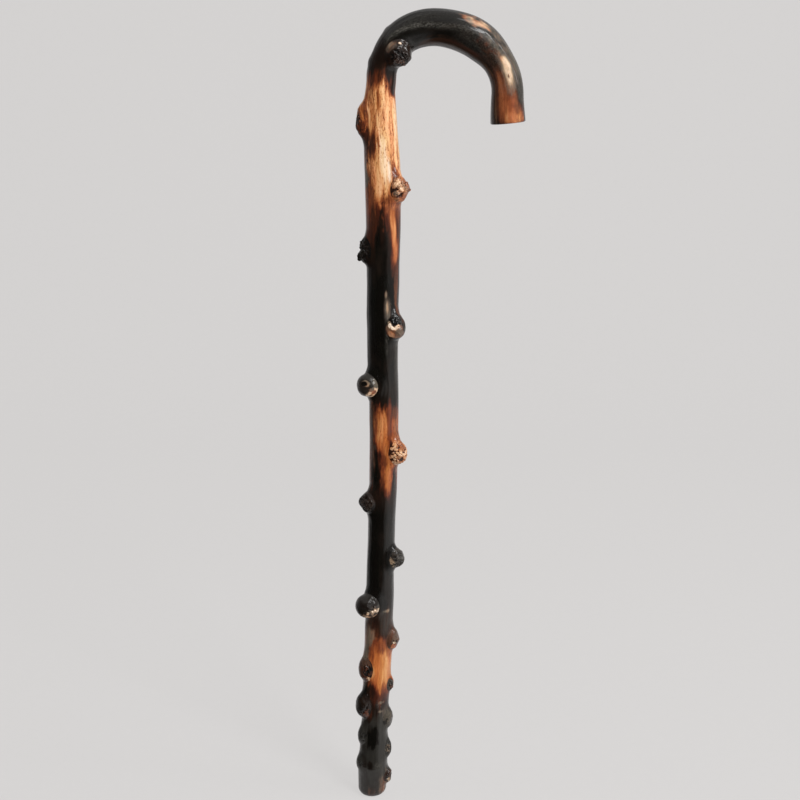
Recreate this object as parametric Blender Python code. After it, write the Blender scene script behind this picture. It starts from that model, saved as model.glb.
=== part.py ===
"""A rustic walking cane: one peeled branch, bent at its thick end into a crook, with its side branches
trimmed to knots. The stem is a loft along the branch, swollen into a collar round each knot. Each knot is
a dome shaved back by the knife, on a tapered root of branch wood seated in its own socket. Metres, +Z up,
the tip on the origin.
"""

import math
from collections import namedtuple

import bmesh
import bpy
import numpy as np

# The centre line. The shaft leans and bows a little, as (height, sideways, backwards).
SHAFT_BOW = (
    (0.000, 0.0000, 0.0000),
    (0.100, 0.0040, 0.0005),
    (0.200, 0.0085, 0.0015),
    (0.300, 0.0115, 0.0020),
    (0.400, 0.0145, 0.0015),
    (0.450, 0.0150, 0.0010),
    (0.520, 0.0140, -0.0005),
    (0.600, 0.0145, -0.0015),
    (0.700, 0.0145, -0.0010),
    (0.745, 0.0130, -0.0005),
    (0.786, 0.0125, 0.0000),
)
BEND_RADIUS = 0.0645
SHOULDER_SWELL = 0.0055  # how much wider the bend runs at its shoulder, on the shaft's side
SHOULDER_ANGLE = math.radians(129)
SHOULDER_WIDTH = math.radians(57)
FLAT_SPOT = 0.0015  # how much tighter it runs on the nose's side
FLAT_SPOT_ANGLE = math.radians(52)
FLAT_SPOT_WIDTH = math.radians(52)
WAIST = 0.0010  # and how much tighter just over the shaft
WAIST_ANGLE = math.radians(168)
WAIST_WIDTH = math.radians(14)
NOSE_DROP = 0.0285  # the nose's cut, below the centre of the bend
NOSE_FLARE = 0.0010  # how far the cut end leans outwards
NOSE_SLANT = math.radians(5.5)

# The girth of the bare stem, as (distance along the centre line from the tip, radius).
GIRTH = (
    (0.000, 0.0152),
    (0.030, 0.0166),
    (0.060, 0.0154),
    (0.105, 0.0146),
    (0.150, 0.0155),
    (0.320, 0.0152),
    (0.450, 0.0159),
    (0.520, 0.0164),
    (0.590, 0.0169),
    (0.655, 0.0178),
    (0.735, 0.0177),
    (0.765, 0.0161),
    (0.797, 0.0149),
    (0.815, 0.0149),
    (0.842, 0.0172),
    (0.890, 0.0187),
    (0.936, 0.0192),
    (0.959, 0.0164),
    (0.981, 0.0163),
    (1.021, 0.0182),
)
TIP_FLAT_RADIUS = 0.0080
TIP_ROUNDING = 0.0085
NOSE_ROUNDING = 0.0016
SAW_CUT_REACH = 0.025  # how far from an end its rings are tilted towards its saw cut

# The planed look of the bend: a ridge along its front and a shallow hollow inside it.
RIDGE_ANGLE = math.radians(112)
RIDGE_HEIGHT = 0.0010
RIDGE_HALF_WIDTH = math.radians(40)
HOLLOW_ANGLE = math.radians(62)
HOLLOW_DEPTH = 0.0009
HOLLOW_HALF_WIDTH = math.radians(34)
PLANED_REACH = 0.62  # how far they run from the top of the bend, as a share of the bend's length

# The branch's own unevenness: an oval that turns slowly along it, and shallow lumps. The turns and the pace
# are in radians for each metre along it.
OVAL_HEIGHT = 0.00030
OVAL_TURN = 9
LUMP_HEIGHT = 0.00025
LUMP_TURN = 41
LUMP_PACE = 67

# Angles go round the stem from the side that the nose is on, 0, by the front, 90, to the outer side, 180.
# A knot is a dome on a collar. Reach is from the centre line to its top, radius is half its width round the
# stem and length half its length along it. Rise and fall are how far the collar runs on towards the crook and
# towards the tip, and collar is its height over the bare stem. Lean is the branch's lean towards the tip, in
# degrees.
Knot = namedtuple("Knot", "name station angle reach radius length rise fall collar lean")
KNOTS = (
    Knot("crook_knot", 0.8335, 52, 0.0275, 0.0145, 0.0132, 0.010, 0.009, 0.0030, 8),
    Knot("knot_01", 0.7620, 170, 0.0255, 0.0085, 0.0135, 0.016, 0.015, 0.0040, 2),
    Knot("knot_02", 0.6915, 35, 0.0310, 0.0100, 0.0115, 0.012, 0.011, 0.0040, 6),
    Knot("knot_03", 0.6280, 166, 0.0245, 0.0085, 0.0115, 0.013, 0.007, 0.0030, 10),
    Knot("knot_04", 0.5495, 42, 0.0280, 0.0110, 0.0120, 0.014, 0.011, 0.0040, 10),
    Knot("knot_05", 0.4860, 149, 0.0305, 0.0130, 0.0120, 0.010, 0.010, 0.0040, 4),
    Knot("knot_06", 0.4115, 36, 0.0285, 0.0105, 0.0120, 0.012, 0.011, 0.0040, 8),
    Knot("knot_07", 0.3530, 153, 0.0277, 0.0100, 0.0100, 0.011, 0.014, 0.0040, 0),
    Knot("knot_08", 0.2895, 22, 0.0277, 0.0095, 0.0100, 0.007, 0.009, 0.0040, 0),
    Knot("knot_09", 0.2350, 135, 0.0305, 0.0135, 0.0130, 0.010, 0.009, 0.0030, 4),
    Knot("knot_10", 0.1935, 18, 0.0243, 0.0085, 0.0095, 0.012, 0.010, 0.0030, 6),
    Knot("knot_11", 0.1575, 147, 0.0225, 0.0095, 0.0120, 0.014, 0.012, 0.0020, 4),
    Knot("knot_12", 0.1385, 10, 0.0194, 0.0055, 0.0075, 0.009, 0.008, 0.0010, 4),
    Knot("knot_13", 0.1135, 148, 0.0240, 0.0095, 0.0135, 0.014, 0.008, 0.0020, 4),
    Knot("knot_14", 0.0970, 16, 0.0210, 0.0075, 0.0100, 0.008, 0.010, 0.0020, 4),
    Knot("knot_15", 0.0755, 153, 0.0195, 0.0070, 0.0090, 0.011, 0.010, 0.0015, 4),
    Knot("knot_16", 0.0600, 15, 0.0205, 0.0055, 0.0095, 0.011, 0.008, 0.0015, 4),
    Knot("knot_17", 0.0415, 156, 0.0197, 0.0065, 0.0060, 0.007, 0.009, 0.0020, 2),
    Knot("knot_18", 0.0255, 16, 0.0226, 0.0075, 0.0080, 0.005, 0.006, 0.0020, 0),
)
COLLAR_WALL = 0.0008  # the collar's lip beyond a knot's rim
COLLAR_SIDE = 0.0080  # how far the collar runs on round the stem
COLLAR_SIDE_LEVEL = 0.35  # its height there, as a share of its height above and below the knot
COLLAR_FALL = 1.8  # 1 is a straight slope down from the lip, and more is hollow
KNOT_ROOT = 0.36  # where a knot's root starts, as a share of the stem's radius
KNOT_ROOT_SHARE = 0.46  # its girth there, as a share of its girth at the rim
SEAT_GAP = 0.00035
CUTTER_RUN_ON = 0.5  # how far a socket's cutter runs on past the collar, as a share of the socket's depth
CUTTER_CAP = 0.006  # how far its closing point lies over the knot's top

# Where the knife trimmed the knots. A cut is given by the way it faces, as seen from the front: how far to
# the right and how far up, and by how far out it lies. All three are shares of the knot's own size.
CUTS = {
    "crook_knot": ((0.90, -0.05, 0.82), (0.20, -0.92, 0.80), (0.62, 0.10, 0.80)),
    "knot_01": ((-0.92, 0.20, 0.80),),
    "knot_02": ((0.55, -0.70, 0.74), (0.50, 0.30, 0.82)),
    "knot_04": ((0.55, 0.55, 0.84), (-0.10, -0.60, 0.86)),
    "knot_05": ((0.35, -0.45, 0.84), (-0.40, 0.30, 0.90)),
    "knot_06": ((0.45, 0.75, 0.86),),
    "knot_07": ((-0.55, -0.55, 0.74), (-0.50, 0.72, 0.74), (-0.10, 0.05, 0.80)),
    "knot_08": ((0.85, 0.40, 0.84), (0.45, -0.45, 0.80)),
    "knot_09": ((0.30, -0.72, 0.78), (0.30, 0.35, 0.90)),
    "knot_10": ((0.80, 0.52, 0.76), (0.70, -0.60, 0.78)),
    "knot_11": ((0.10, -0.30, 0.86),),
    "knot_13": ((0.25, -0.55, 0.80), (-0.85, 0.10, 0.88)),
    "knot_14": ((0.80, -0.40, 0.80),),
    "knot_18": ((0.96, -0.12, 0.72),),
}
# Lobes and hollows: the same two directions, the size as a share of the knot's, and how far out or in.
LOBES = {
    "crook_knot": ((0.25, 0.60, 0.50, -0.14), (0.60, -0.55, 0.40, 0.05)),
    "knot_01": ((-0.95, 0.05, 0.45, -0.16), (-0.75, -0.55, 0.50, 0.10)),
    "knot_02": ((0.10, 0.05, 0.42, -0.22), (0.35, 0.62, 0.40, 0.16), (0.70, 0.20, 0.45, 0.12)),
    "knot_03": ((-0.60, 0.72, 0.50, 0.18), (-0.88, 0.15, 0.40, -0.24), (-0.80, -0.45, 0.55, 0.16)),
    "knot_04": ((-0.05, 0.38, 0.62, -0.34), (0.20, -0.55, 0.60, 0.14), (-0.70, -0.20, 0.40, 0.12)),
    "knot_05": ((-0.38, 0.16, 0.30, -0.18), (0.30, -0.62, 0.40, 0.10), (-0.38, 0.16, 0.62, 0.05)),
    "knot_06": ((0.25, -0.20, 0.36, -0.12), (-0.25, 0.30, 0.40, 0.10), (0.60, 0.25, 0.40, 0.10)),
    "knot_07": ((-0.85, 0.45, 0.45, 0.22), (-0.15, -0.15, 0.40, -0.16)),
    "knot_08": ((-0.20, -0.20, 0.45, -0.16), (0.50, 0.30, 0.45, 0.08)),
    "knot_09": ((0.25, -0.45, 0.42, -0.16), (-0.35, 0.45, 0.60, 0.08), (0.68, -0.25, 0.35, 0.12)),
    "knot_10": ((0.85, 0.10, 0.40, 0.20), (0.45, -0.35, 0.40, -0.14)),
    "knot_11": ((0.10, 0.00, 0.36, -0.20), (0.45, -0.60, 0.40, 0.14)),
    "knot_13": ((0.15, 0.05, 0.40, -0.16), (0.40, -0.62, 0.40, 0.12)),
    "knot_15": ((0.20, 0.00, 0.45, -0.14),),
    "knot_17": ((0.05, -0.10, 0.40, -0.20),),
    "knot_18": ((0.95, 0.15, 0.45, -0.14),),
}

STEM_SIDES = 22
KNOT_SIDES = 18
DOME_SHARES = (1.0, 0.93, 0.80, 0.62, 0.40, 0.18)  # the dome's rings, from its rim to near its top
DOME_FULLNESS = 2.4  # 2 is an ellipsoid, and more is fuller
RIM_HOLD = 6  # the larger, the nearer to its rim a dome is cut and swollen
RING_STEP_PLAIN = 0.0115
RING_STEP_BEND = 0.0085
RING_STEP_KNOT = 0.0048

KNOT_COLOURS = {
    "crook_knot": (0.030, 0.022, 0.018),
    "knot_02": (0.230, 0.130, 0.085),
    "knot_04": (0.160, 0.090, 0.055),
    "knot_05": (0.190, 0.115, 0.060),
    "knot_06": (0.440, 0.260, 0.170),
    "knot_09": (0.170, 0.120, 0.060),
}
CHARRED_KNOT = (0.035, 0.024, 0.018)
STEM_COLOUR = (0.120, 0.060, 0.028)


def clear_scene():
    for obj in list(bpy.data.objects):
        bpy.data.objects.remove(obj, do_unlink=True)


def smooth_through(stations, values, at):
    """A smooth curve through the values, flat or sloping at each station as its neighbours are."""
    stations = np.asarray(stations, float)
    values = np.asarray(values, float)
    slopes = np.gradient(values, stations)
    at = np.clip(at, stations[0], stations[-1])
    left = np.clip(np.searchsorted(stations, at, side="right") - 1, 0, len(stations) - 2)
    span = stations[left + 1] - stations[left]
    t = (at - stations[left]) / span
    return (
        values[left] * (2 * t**3 - 3 * t**2 + 1)
        + values[left + 1] * (3 * t**2 - 2 * t**3)
        + slopes[left] * span * (t**3 - 2 * t**2 + t)
        + slopes[left + 1] * span * (t**3 - t**2)
    )


def hump(distance):
    """1 in the middle, falling smoothly to 0 at a distance of 1 and beyond."""
    return 0.5 + 0.5 * np.cos(np.pi * np.clip(np.abs(distance), 0, 1))


def centre_line():
    """Points along the branch from the tip to the nose: the bowed shaft, the bend and the straight nose."""
    heights, sideways, backwards = np.array(SHAFT_BOW).T
    z = np.linspace(0, heights[-1], 400)
    shaft = np.stack([smooth_through(heights, sideways, z), smooth_through(heights, backwards, z), z], axis=1)
    middle = np.array([sideways[-1] + BEND_RADIUS, 0, heights[-1]])
    turn = np.linspace(math.pi, 0, 120)[1:]
    swell = SHOULDER_SWELL * hump((turn - SHOULDER_ANGLE) / SHOULDER_WIDTH)
    radius = BEND_RADIUS + swell - FLAT_SPOT * hump((turn - FLAT_SPOT_ANGLE) / FLAT_SPOT_WIDTH)
    radius = radius - WAIST * hump((turn - WAIST_ANGLE) / WAIST_WIDTH)
    bend = middle + np.stack([radius * np.cos(turn), 0 * turn, radius * np.sin(turn)], axis=1)
    drop = np.linspace(0, NOSE_DROP, 16)[1:]
    flare = NOSE_FLARE * (drop / NOSE_DROP) ** 2
    nose = bend[-1] + np.stack([flare, 0 * drop, -drop], axis=1)
    return np.concatenate([shaft, bend, nose])


class Branch:
    """The centre line measured by its length, with directions across it."""

    def __init__(self):
        self.points = centre_line()
        steps = np.linalg.norm(np.diff(self.points, axis=0), axis=1)
        self.lengths = np.concatenate([[0], np.cumsum(steps)])
        self.length = self.lengths[-1]

    def at(self, station):
        return np.stack([np.interp(station, self.lengths, axis) for axis in self.points.T], axis=-1)

    def frame(self, station):
        """The centre, the way along, the way to the inner side and the way to the front."""
        reach = 0.006
        along = self.at(np.minimum(station + reach, self.length)) - self.at(np.maximum(station - reach, 0))
        along /= np.linalg.norm(along, axis=-1, keepdims=True)
        inner = np.cross([0.0, 1.0, 0.0], along)
        inner /= np.linalg.norm(inner, axis=-1, keepdims=True)
        return self.at(station), along, inner, np.cross(inner, along)


def bare_radius(station):
    stations, radii = np.array(GIRTH).T
    return smooth_through(stations, radii, station)


def turn_between(angle, other):
    """The turn from one angle to another by the shorter way round."""
    return (angle - other + np.pi) % (2 * np.pi) - np.pi


def collars(station, angle):
    """The swelling round each knot: level inside its lip, then falling to the bare stem, the steeper the
    nearer to the lip. It stands lower beside a knot than above and below it."""
    total = np.zeros(np.broadcast(station, angle).shape)
    for knot in KNOTS:
        length = knot.length + COLLAR_WALL
        radius = knot.radius + COLLAR_WALL
        along = (station - knot.station) / length
        around = turn_between(angle, math.radians(knot.angle)) * bare_radius(station) / radius
        away = np.maximum(np.hypot(along, around), 1e-6)
        lengthways = (along / away) ** 2
        run_on = np.where(along > 0, knot.rise, knot.fall) / length
        spread = lengthways * run_on + (1 - lengthways) * COLLAR_SIDE / radius
        level = 1 - (1 - COLLAR_SIDE_LEVEL) * (1 - lengthways) * np.clip(away, 0, 1) ** 2
        total = total + knot.collar * level * (1 - np.clip((away - 1) / spread, 0, 1)) ** COLLAR_FALL
    return total


def stem_radius(branch, station, angle):
    """The bare girth, the collars, the ridge and hollow of the bend, and the branch's own shallow lumps."""
    bend_start = branch.length - NOSE_DROP - math.pi * BEND_RADIUS
    bend_top = bend_start + 0.5 * math.pi * BEND_RADIUS
    on_bend = hump((station - bend_top) / (PLANED_REACH * math.pi * BEND_RADIUS)) ** 0.5
    ridge = RIDGE_HEIGHT * hump((angle - RIDGE_ANGLE) / RIDGE_HALF_WIDTH)
    hollow = HOLLOW_DEPTH * hump((angle - HOLLOW_ANGLE) / HOLLOW_HALF_WIDTH)
    oval = OVAL_HEIGHT * np.cos(2 * angle + OVAL_TURN * station)
    lumps = LUMP_HEIGHT * np.sin(3 * angle + LUMP_TURN * station) * np.cos(LUMP_PACE * station)
    return bare_radius(station) + collars(station, angle) + on_bend * (ridge - hollow) + oval + lumps


def end_rounding(branch, station, radius):
    """The radius drawn in near the ends: a quarter ellipse at the tip and a small one at the nose."""
    into_tip = np.clip(station / TIP_ROUNDING, 0, 1)
    tip = TIP_FLAT_RADIUS + (radius - TIP_FLAT_RADIUS) * np.sqrt(1 - (1 - into_tip) ** 2)
    into_nose = np.clip((branch.length - station) / NOSE_ROUNDING, 0, 1)
    return tip - NOSE_ROUNDING * (1 - np.sqrt(1 - (1 - into_nose) ** 2))


def squared_off(branch, station, points, centre, along):
    """Rings near an end are slid along the branch until they lie parallel to that end's saw cut."""
    tip_cut = np.array([0.0, 0.0, 1.0])
    nose_cut = np.array([math.sin(NOSE_SLANT), 0, -math.cos(NOSE_SLANT)])
    normal = along.copy()
    for cut, distance in ((tip_cut, station), (nose_cut, branch.length - station)):
        normal += hump(distance / SAW_CUT_REACH)[:, None] * (cut - along)
    offset = np.einsum("rsk,rk->rs", points - centre[:, None], normal)
    slide = offset / np.einsum("rk,rk->r", along, normal)[:, None]
    return points - along[:, None] * slide[:, :, None]


def ring_stations(branch):
    """Rings close together at the ends and round the knots, and further apart between them."""
    tip = [TIP_ROUNDING * share for share in (0, 0.04, 0.16, 0.36, 0.64, 1.0)]
    nose = [branch.length - NOSE_ROUNDING * share for share in (1.0, 0.4, 0.0)]
    bend_start = branch.length - NOSE_DROP - math.pi * BEND_RADIUS
    rings = list(tip)
    while True:
        here = rings[-1]
        near_knot = any(-k.length - k.fall < here + 0.002 - k.station < k.length + k.rise for k in KNOTS)
        step = RING_STEP_KNOT if near_knot else RING_STEP_BEND if here > bend_start else RING_STEP_PLAIN
        if here + 1.5 * step > nose[0]:
            return np.array(rings + nose)
        rings.append(here + step)


def loft(name, rings, closing_point=None):
    """A closed skin over rings of points, flat across both ends, or drawn to a point at the last. Its sides
    are split along the same diagonals for a knot and for its socket's cutter, so that their gap is even."""
    bm = bmesh.new()
    loops = [[bm.verts.new(point) for point in ring] for ring in rings]
    for lower, upper in zip(loops, loops[1:]):
        for i in range(len(lower)):
            bm.faces.new((lower[i - 1], lower[i], upper[i]))
            bm.faces.new((lower[i - 1], upper[i], upper[i - 1]))
    bm.faces.new(loops[0])
    if closing_point is None:
        bm.faces.new(loops[-1])
    else:
        peak = bm.verts.new(closing_point)
        for i in range(len(loops[-1])):
            bm.faces.new((loops[-1][i - 1], loops[-1][i], peak))
    bmesh.ops.recalc_face_normals(bm, faces=bm.faces)
    mesh = bpy.data.meshes.new(name)
    bm.to_mesh(mesh)
    bm.free()
    mesh.shade_smooth()
    mesh.set_sharp_from_angle(angle=math.radians(50))
    obj = bpy.data.objects.new(name, mesh)
    bpy.context.collection.objects.link(obj)
    return obj


def finish_with(obj, colour, roughness):
    material = bpy.data.materials.new(obj.name)
    material.use_nodes = True
    shader = material.node_tree.nodes["Principled BSDF"]
    shader.inputs["Base Color"].default_value = (*colour, 1)
    shader.inputs["Roughness"].default_value = roughness
    shader.inputs["Metallic"].default_value = 0
    shader.inputs["Coat Weight"].default_value = 1
    obj.data.materials.append(material)


def on_branch(branch, station, angle, radius):
    """Points at these distances along the branch, angles round it and radii from its centre line."""
    centre, along, inner, front = branch.frame(station)
    outward = np.cos(angle)[..., None] * inner + np.sin(angle)[..., None] * front
    return centre + radius[..., None] * outward


def make_stem(branch):
    station = ring_stations(branch)
    angle = np.arange(STEM_SIDES) * 2 * np.pi / STEM_SIDES
    grid_station, grid_angle = np.meshgrid(station, angle, indexing="ij")
    radius = end_rounding(branch, grid_station, stem_radius(branch, grid_station, grid_angle))
    points = on_branch(branch, grid_station, grid_angle, radius)
    centre, along, inner, front = branch.frame(station)
    stem = loft("stem", squared_off(branch, station, points, centre, along))
    finish_with(stem, STEM_COLOUR, 0.32)
    return stem


def trimmed_dome(knot, share, turn):
    """The dome in shares of the knot's size, as its parts round the stem, along it and outwards. It is a
    superellipse from its top to its rim, swollen or hollowed at its lobes, then shaved back to its cuts."""
    out = np.sqrt(1 - share**DOME_FULLNESS) + 0 * turn
    dome = np.stack([share * np.sin(turn), share * np.cos(turn), out], axis=-1)
    free = 1 - share**RIM_HOLD
    for right, high, size, height in LOBES.get(knot.name, ()):
        away = np.linalg.norm(dome - facing(knot, right, high), axis=-1) / size
        dome = dome * (1 + free * height * hump(away))[..., None]
    for right, high, level in CUTS.get(knot.name, ()):
        way = facing(knot, right, high)
        over = free * np.maximum(dome @ way - level, 0)
        dome = dome - over[..., None] * way
    return dome


def facing(knot, right, high):
    """A direction as seen from the front, turned into its parts round the stem, along it and outwards."""
    front = math.sqrt(1 - right**2 - high**2)
    turn = math.radians(knot.angle)
    side = front * math.cos(turn) - right * math.sin(turn)
    out = front * math.sin(turn) + right * math.cos(turn)
    return np.array([side, high, out])


class Seat:
    """A knot's rings: its root inside the stem, the rim of its socket, and its dome."""

    def __init__(self, branch, knot):
        self.branch = branch
        self.knot = knot
        self.turn = np.arange(KNOT_SIDES) * 2 * np.pi / KNOT_SIDES
        self.bare = float(bare_radius(knot.station))
        self.height = knot.reach - self.bare - knot.collar

    def dome(self, share, turn):
        """Points of the trimmed dome, standing on the collar and leaning towards the tip as it rises."""
        side, up, out = trimmed_dome(self.knot, share, turn).T
        return self.over_stem(self.knot.radius * side, self.knot.length * up, self.height * out)

    def over_stem(self, around, along, height):
        lean = height * math.tan(math.radians(self.knot.lean))
        station = self.knot.station + along - lean
        angle = math.radians(self.knot.angle) + around / (self.bare + self.knot.collar)
        radius = stem_radius(self.branch, station, angle) + height
        return on_branch(self.branch, station, angle, radius)

    def rim(self, margin):
        around = (self.knot.radius + margin) * np.sin(self.turn)
        along = (self.knot.length + margin) * np.cos(self.turn)
        return self.over_stem(around, along, 0 * around)

    def root(self, margin):
        """A flat ring round the knot's axis, near the pith."""
        centre, along, inner, front = self.branch.frame(self.knot.station)
        turn = math.radians(self.knot.angle)
        outward = math.cos(turn) * inner + math.sin(turn) * front
        sideways = math.cos(turn) * front - math.sin(turn) * inner
        across = (KNOT_ROOT_SHARE * self.knot.radius + margin) * np.sin(self.turn)
        lengthways = (KNOT_ROOT_SHARE * self.knot.length + margin) * np.cos(self.turn)
        middle = centre + (KNOT_ROOT * self.bare - margin) * outward
        return middle + across[:, None] * sideways + lengthways[:, None] * along

    def cap(self):
        """The point over the knot's top where its socket's cutter closes."""
        middle = np.zeros(1)
        return self.over_stem(middle, middle, middle + self.height + CUTTER_CAP)[0]


def make_knot(seat):
    """A knot: a root that widens from the pith to the rim of its socket, and a trimmed dome over the rim."""
    rings = [seat.root(0.0)] + [seat.dome(share, seat.turn) for share in DOME_SHARES]
    peak = seat.dome(0.0, np.zeros(1))[0]
    knot = loft(seat.knot.name, rings, peak)
    finish_with(knot, KNOT_COLOURS.get(seat.knot.name, CHARRED_KNOT), 0.5)
    return knot


def make_socket_cutter(seat):
    """The root's own shape, a seat gap larger all round, run out past the collar along the same slopes."""
    root, rim = seat.root(SEAT_GAP), seat.rim(SEAT_GAP)
    past_the_collar = rim + CUTTER_RUN_ON * (rim - root)
    cutter = loft(seat.knot.name + "_socket", [root, rim, past_the_collar], seat.cap())
    cutter.hide_render = True
    cutter.display_type = "WIRE"
    return cutter


def main():
    clear_scene()
    branch = Branch()
    stem = make_stem(branch)
    for knot in KNOTS:
        seat = Seat(branch, knot)
        make_knot(seat)
        socket = stem.modifiers.new(knot.name + "_socket", "BOOLEAN")
        socket.operation = "DIFFERENCE"
        socket.solver = "EXACT"
        socket.object = make_socket_cutter(seat)


main()
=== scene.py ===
"""The looks of a rustic walking cane: a peeled branch with a bent crook and trimmed knots, scorched with a
flame in black, brown and honey, and lacquered. The stem and each knot are surfaces of two parameters, and
their paint follows the branch, so that the grain and the scorch marks bend with it.
"""

import math
from collections import namedtuple

import bpy
import numpy as np
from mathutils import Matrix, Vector


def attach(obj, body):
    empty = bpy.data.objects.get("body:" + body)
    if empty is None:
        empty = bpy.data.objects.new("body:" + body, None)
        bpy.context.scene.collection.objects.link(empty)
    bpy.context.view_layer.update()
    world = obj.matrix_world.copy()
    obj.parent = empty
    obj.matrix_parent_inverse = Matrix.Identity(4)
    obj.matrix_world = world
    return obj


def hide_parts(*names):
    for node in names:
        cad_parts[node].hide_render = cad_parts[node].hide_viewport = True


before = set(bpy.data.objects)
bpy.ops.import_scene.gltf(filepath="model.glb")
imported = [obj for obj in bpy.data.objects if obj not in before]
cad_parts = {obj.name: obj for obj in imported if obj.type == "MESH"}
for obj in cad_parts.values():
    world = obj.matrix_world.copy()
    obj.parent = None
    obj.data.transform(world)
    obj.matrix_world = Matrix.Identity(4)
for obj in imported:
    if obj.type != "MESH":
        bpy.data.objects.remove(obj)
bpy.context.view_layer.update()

MM = 0.001

# The branch, as the solids have it. The shaft's bow is given as (height, sideways, backwards).
SHAFT_BOW = (
    (0.000, 0.0000, 0.0000),
    (0.100, 0.0040, 0.0005),
    (0.200, 0.0085, 0.0015),
    (0.300, 0.0115, 0.0020),
    (0.400, 0.0145, 0.0015),
    (0.450, 0.0150, 0.0010),
    (0.520, 0.0140, -0.0005),
    (0.600, 0.0145, -0.0015),
    (0.700, 0.0145, -0.0010),
    (0.745, 0.0130, -0.0005),
    (0.786, 0.0125, 0.0000),
)
BEND_RADIUS = 0.0645
SHOULDER_SWELL = 0.0055
SHOULDER_ANGLE = math.radians(129)
SHOULDER_WIDTH = math.radians(57)
FLAT_SPOT = 0.0015
FLAT_SPOT_ANGLE = math.radians(52)
FLAT_SPOT_WIDTH = math.radians(52)
WAIST = 0.0010
WAIST_ANGLE = math.radians(168)
WAIST_WIDTH = math.radians(14)
NOSE_DROP = 0.0285
NOSE_FLARE = 0.0010
NOSE_SLANT = math.radians(5.5)

# The girth of the bare stem, as (distance along the centre line from the tip, radius).
GIRTH = (
    (0.000, 0.0152),
    (0.030, 0.0166),
    (0.060, 0.0154),
    (0.105, 0.0146),
    (0.150, 0.0155),
    (0.320, 0.0152),
    (0.450, 0.0159),
    (0.520, 0.0164),
    (0.590, 0.0169),
    (0.655, 0.0178),
    (0.735, 0.0177),
    (0.765, 0.0161),
    (0.797, 0.0149),
    (0.815, 0.0149),
    (0.842, 0.0172),
    (0.890, 0.0187),
    (0.936, 0.0192),
    (0.959, 0.0164),
    (0.981, 0.0163),
    (1.021, 0.0182),
)
TIP_FLAT_RADIUS = 0.0080
TIP_ROUNDING = 0.0085
NOSE_ROUNDING = 0.0016
SAW_CUT_REACH = 0.025
RIDGE_ANGLE = math.radians(112)
RIDGE_HEIGHT = 0.0010
RIDGE_HALF_WIDTH = math.radians(40)
HOLLOW_ANGLE = math.radians(62)
HOLLOW_DEPTH = 0.0009
HOLLOW_HALF_WIDTH = math.radians(34)
OVAL_HEIGHT = 0.00030
OVAL_TURN = 9
LUMP_HEIGHT = 0.00025
LUMP_TURN = 41
LUMP_PACE = 67
PLANED_REACH = 0.62

# Angles go round the stem from the side that the nose is on, 0, by the front, 90, to the outer side, 180.
Knot = namedtuple("Knot", "name station angle reach radius length rise fall collar lean")
KNOTS = (
    Knot("crook_knot", 0.8335, 52, 0.0275, 0.0145, 0.0132, 0.010, 0.009, 0.0030, 8),
    Knot("knot_01", 0.7620, 170, 0.0255, 0.0085, 0.0135, 0.016, 0.015, 0.0040, 2),
    Knot("knot_02", 0.6915, 35, 0.0310, 0.0100, 0.0115, 0.012, 0.011, 0.0040, 6),
    Knot("knot_03", 0.6280, 166, 0.0245, 0.0085, 0.0115, 0.013, 0.007, 0.0030, 10),
    Knot("knot_04", 0.5495, 42, 0.0280, 0.0110, 0.0120, 0.014, 0.011, 0.0040, 10),
    Knot("knot_05", 0.4860, 149, 0.0305, 0.0130, 0.0120, 0.010, 0.010, 0.0040, 4),
    Knot("knot_06", 0.4115, 36, 0.0285, 0.0105, 0.0120, 0.012, 0.011, 0.0040, 8),
    Knot("knot_07", 0.3530, 153, 0.0277, 0.0100, 0.0100, 0.011, 0.014, 0.0040, 0),
    Knot("knot_08", 0.2895, 22, 0.0277, 0.0095, 0.0100, 0.007, 0.009, 0.0040, 0),
    Knot("knot_09", 0.2350, 135, 0.0305, 0.0135, 0.0130, 0.010, 0.009, 0.0030, 4),
    Knot("knot_10", 0.1935, 18, 0.0243, 0.0085, 0.0095, 0.012, 0.010, 0.0030, 6),
    Knot("knot_11", 0.1575, 147, 0.0225, 0.0095, 0.0120, 0.014, 0.012, 0.0020, 4),
    Knot("knot_12", 0.1385, 10, 0.0194, 0.0055, 0.0075, 0.009, 0.008, 0.0010, 4),
    Knot("knot_13", 0.1135, 148, 0.0240, 0.0095, 0.0135, 0.014, 0.008, 0.0020, 4),
    Knot("knot_14", 0.0970, 16, 0.0210, 0.0075, 0.0100, 0.008, 0.010, 0.0020, 4),
    Knot("knot_15", 0.0755, 153, 0.0195, 0.0070, 0.0090, 0.011, 0.010, 0.0015, 4),
    Knot("knot_16", 0.0600, 15, 0.0205, 0.0055, 0.0095, 0.011, 0.008, 0.0015, 4),
    Knot("knot_17", 0.0415, 156, 0.0197, 0.0065, 0.0060, 0.007, 0.009, 0.0020, 2),
    Knot("knot_18", 0.0255, 16, 0.0226, 0.0075, 0.0080, 0.005, 0.006, 0.0020, 0),
)
COLLAR_WALL = 0.0008  # the collar's lip beyond a knot's rim
COLLAR_SIDE = 0.0080  # how far the collar runs on round the stem
COLLAR_SIDE_LEVEL = 0.35  # its height there, as a share of its height above and below the knot
COLLAR_FALL = 1.8  # 1 is a straight slope down from the lip, and more is hollow
BARE_KNOTS = ("knot_02", "knot_04", "knot_05", "knot_06", "knot_09")
DOME_FULLNESS = 2.4
RIM_HOLD = 6

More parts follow.
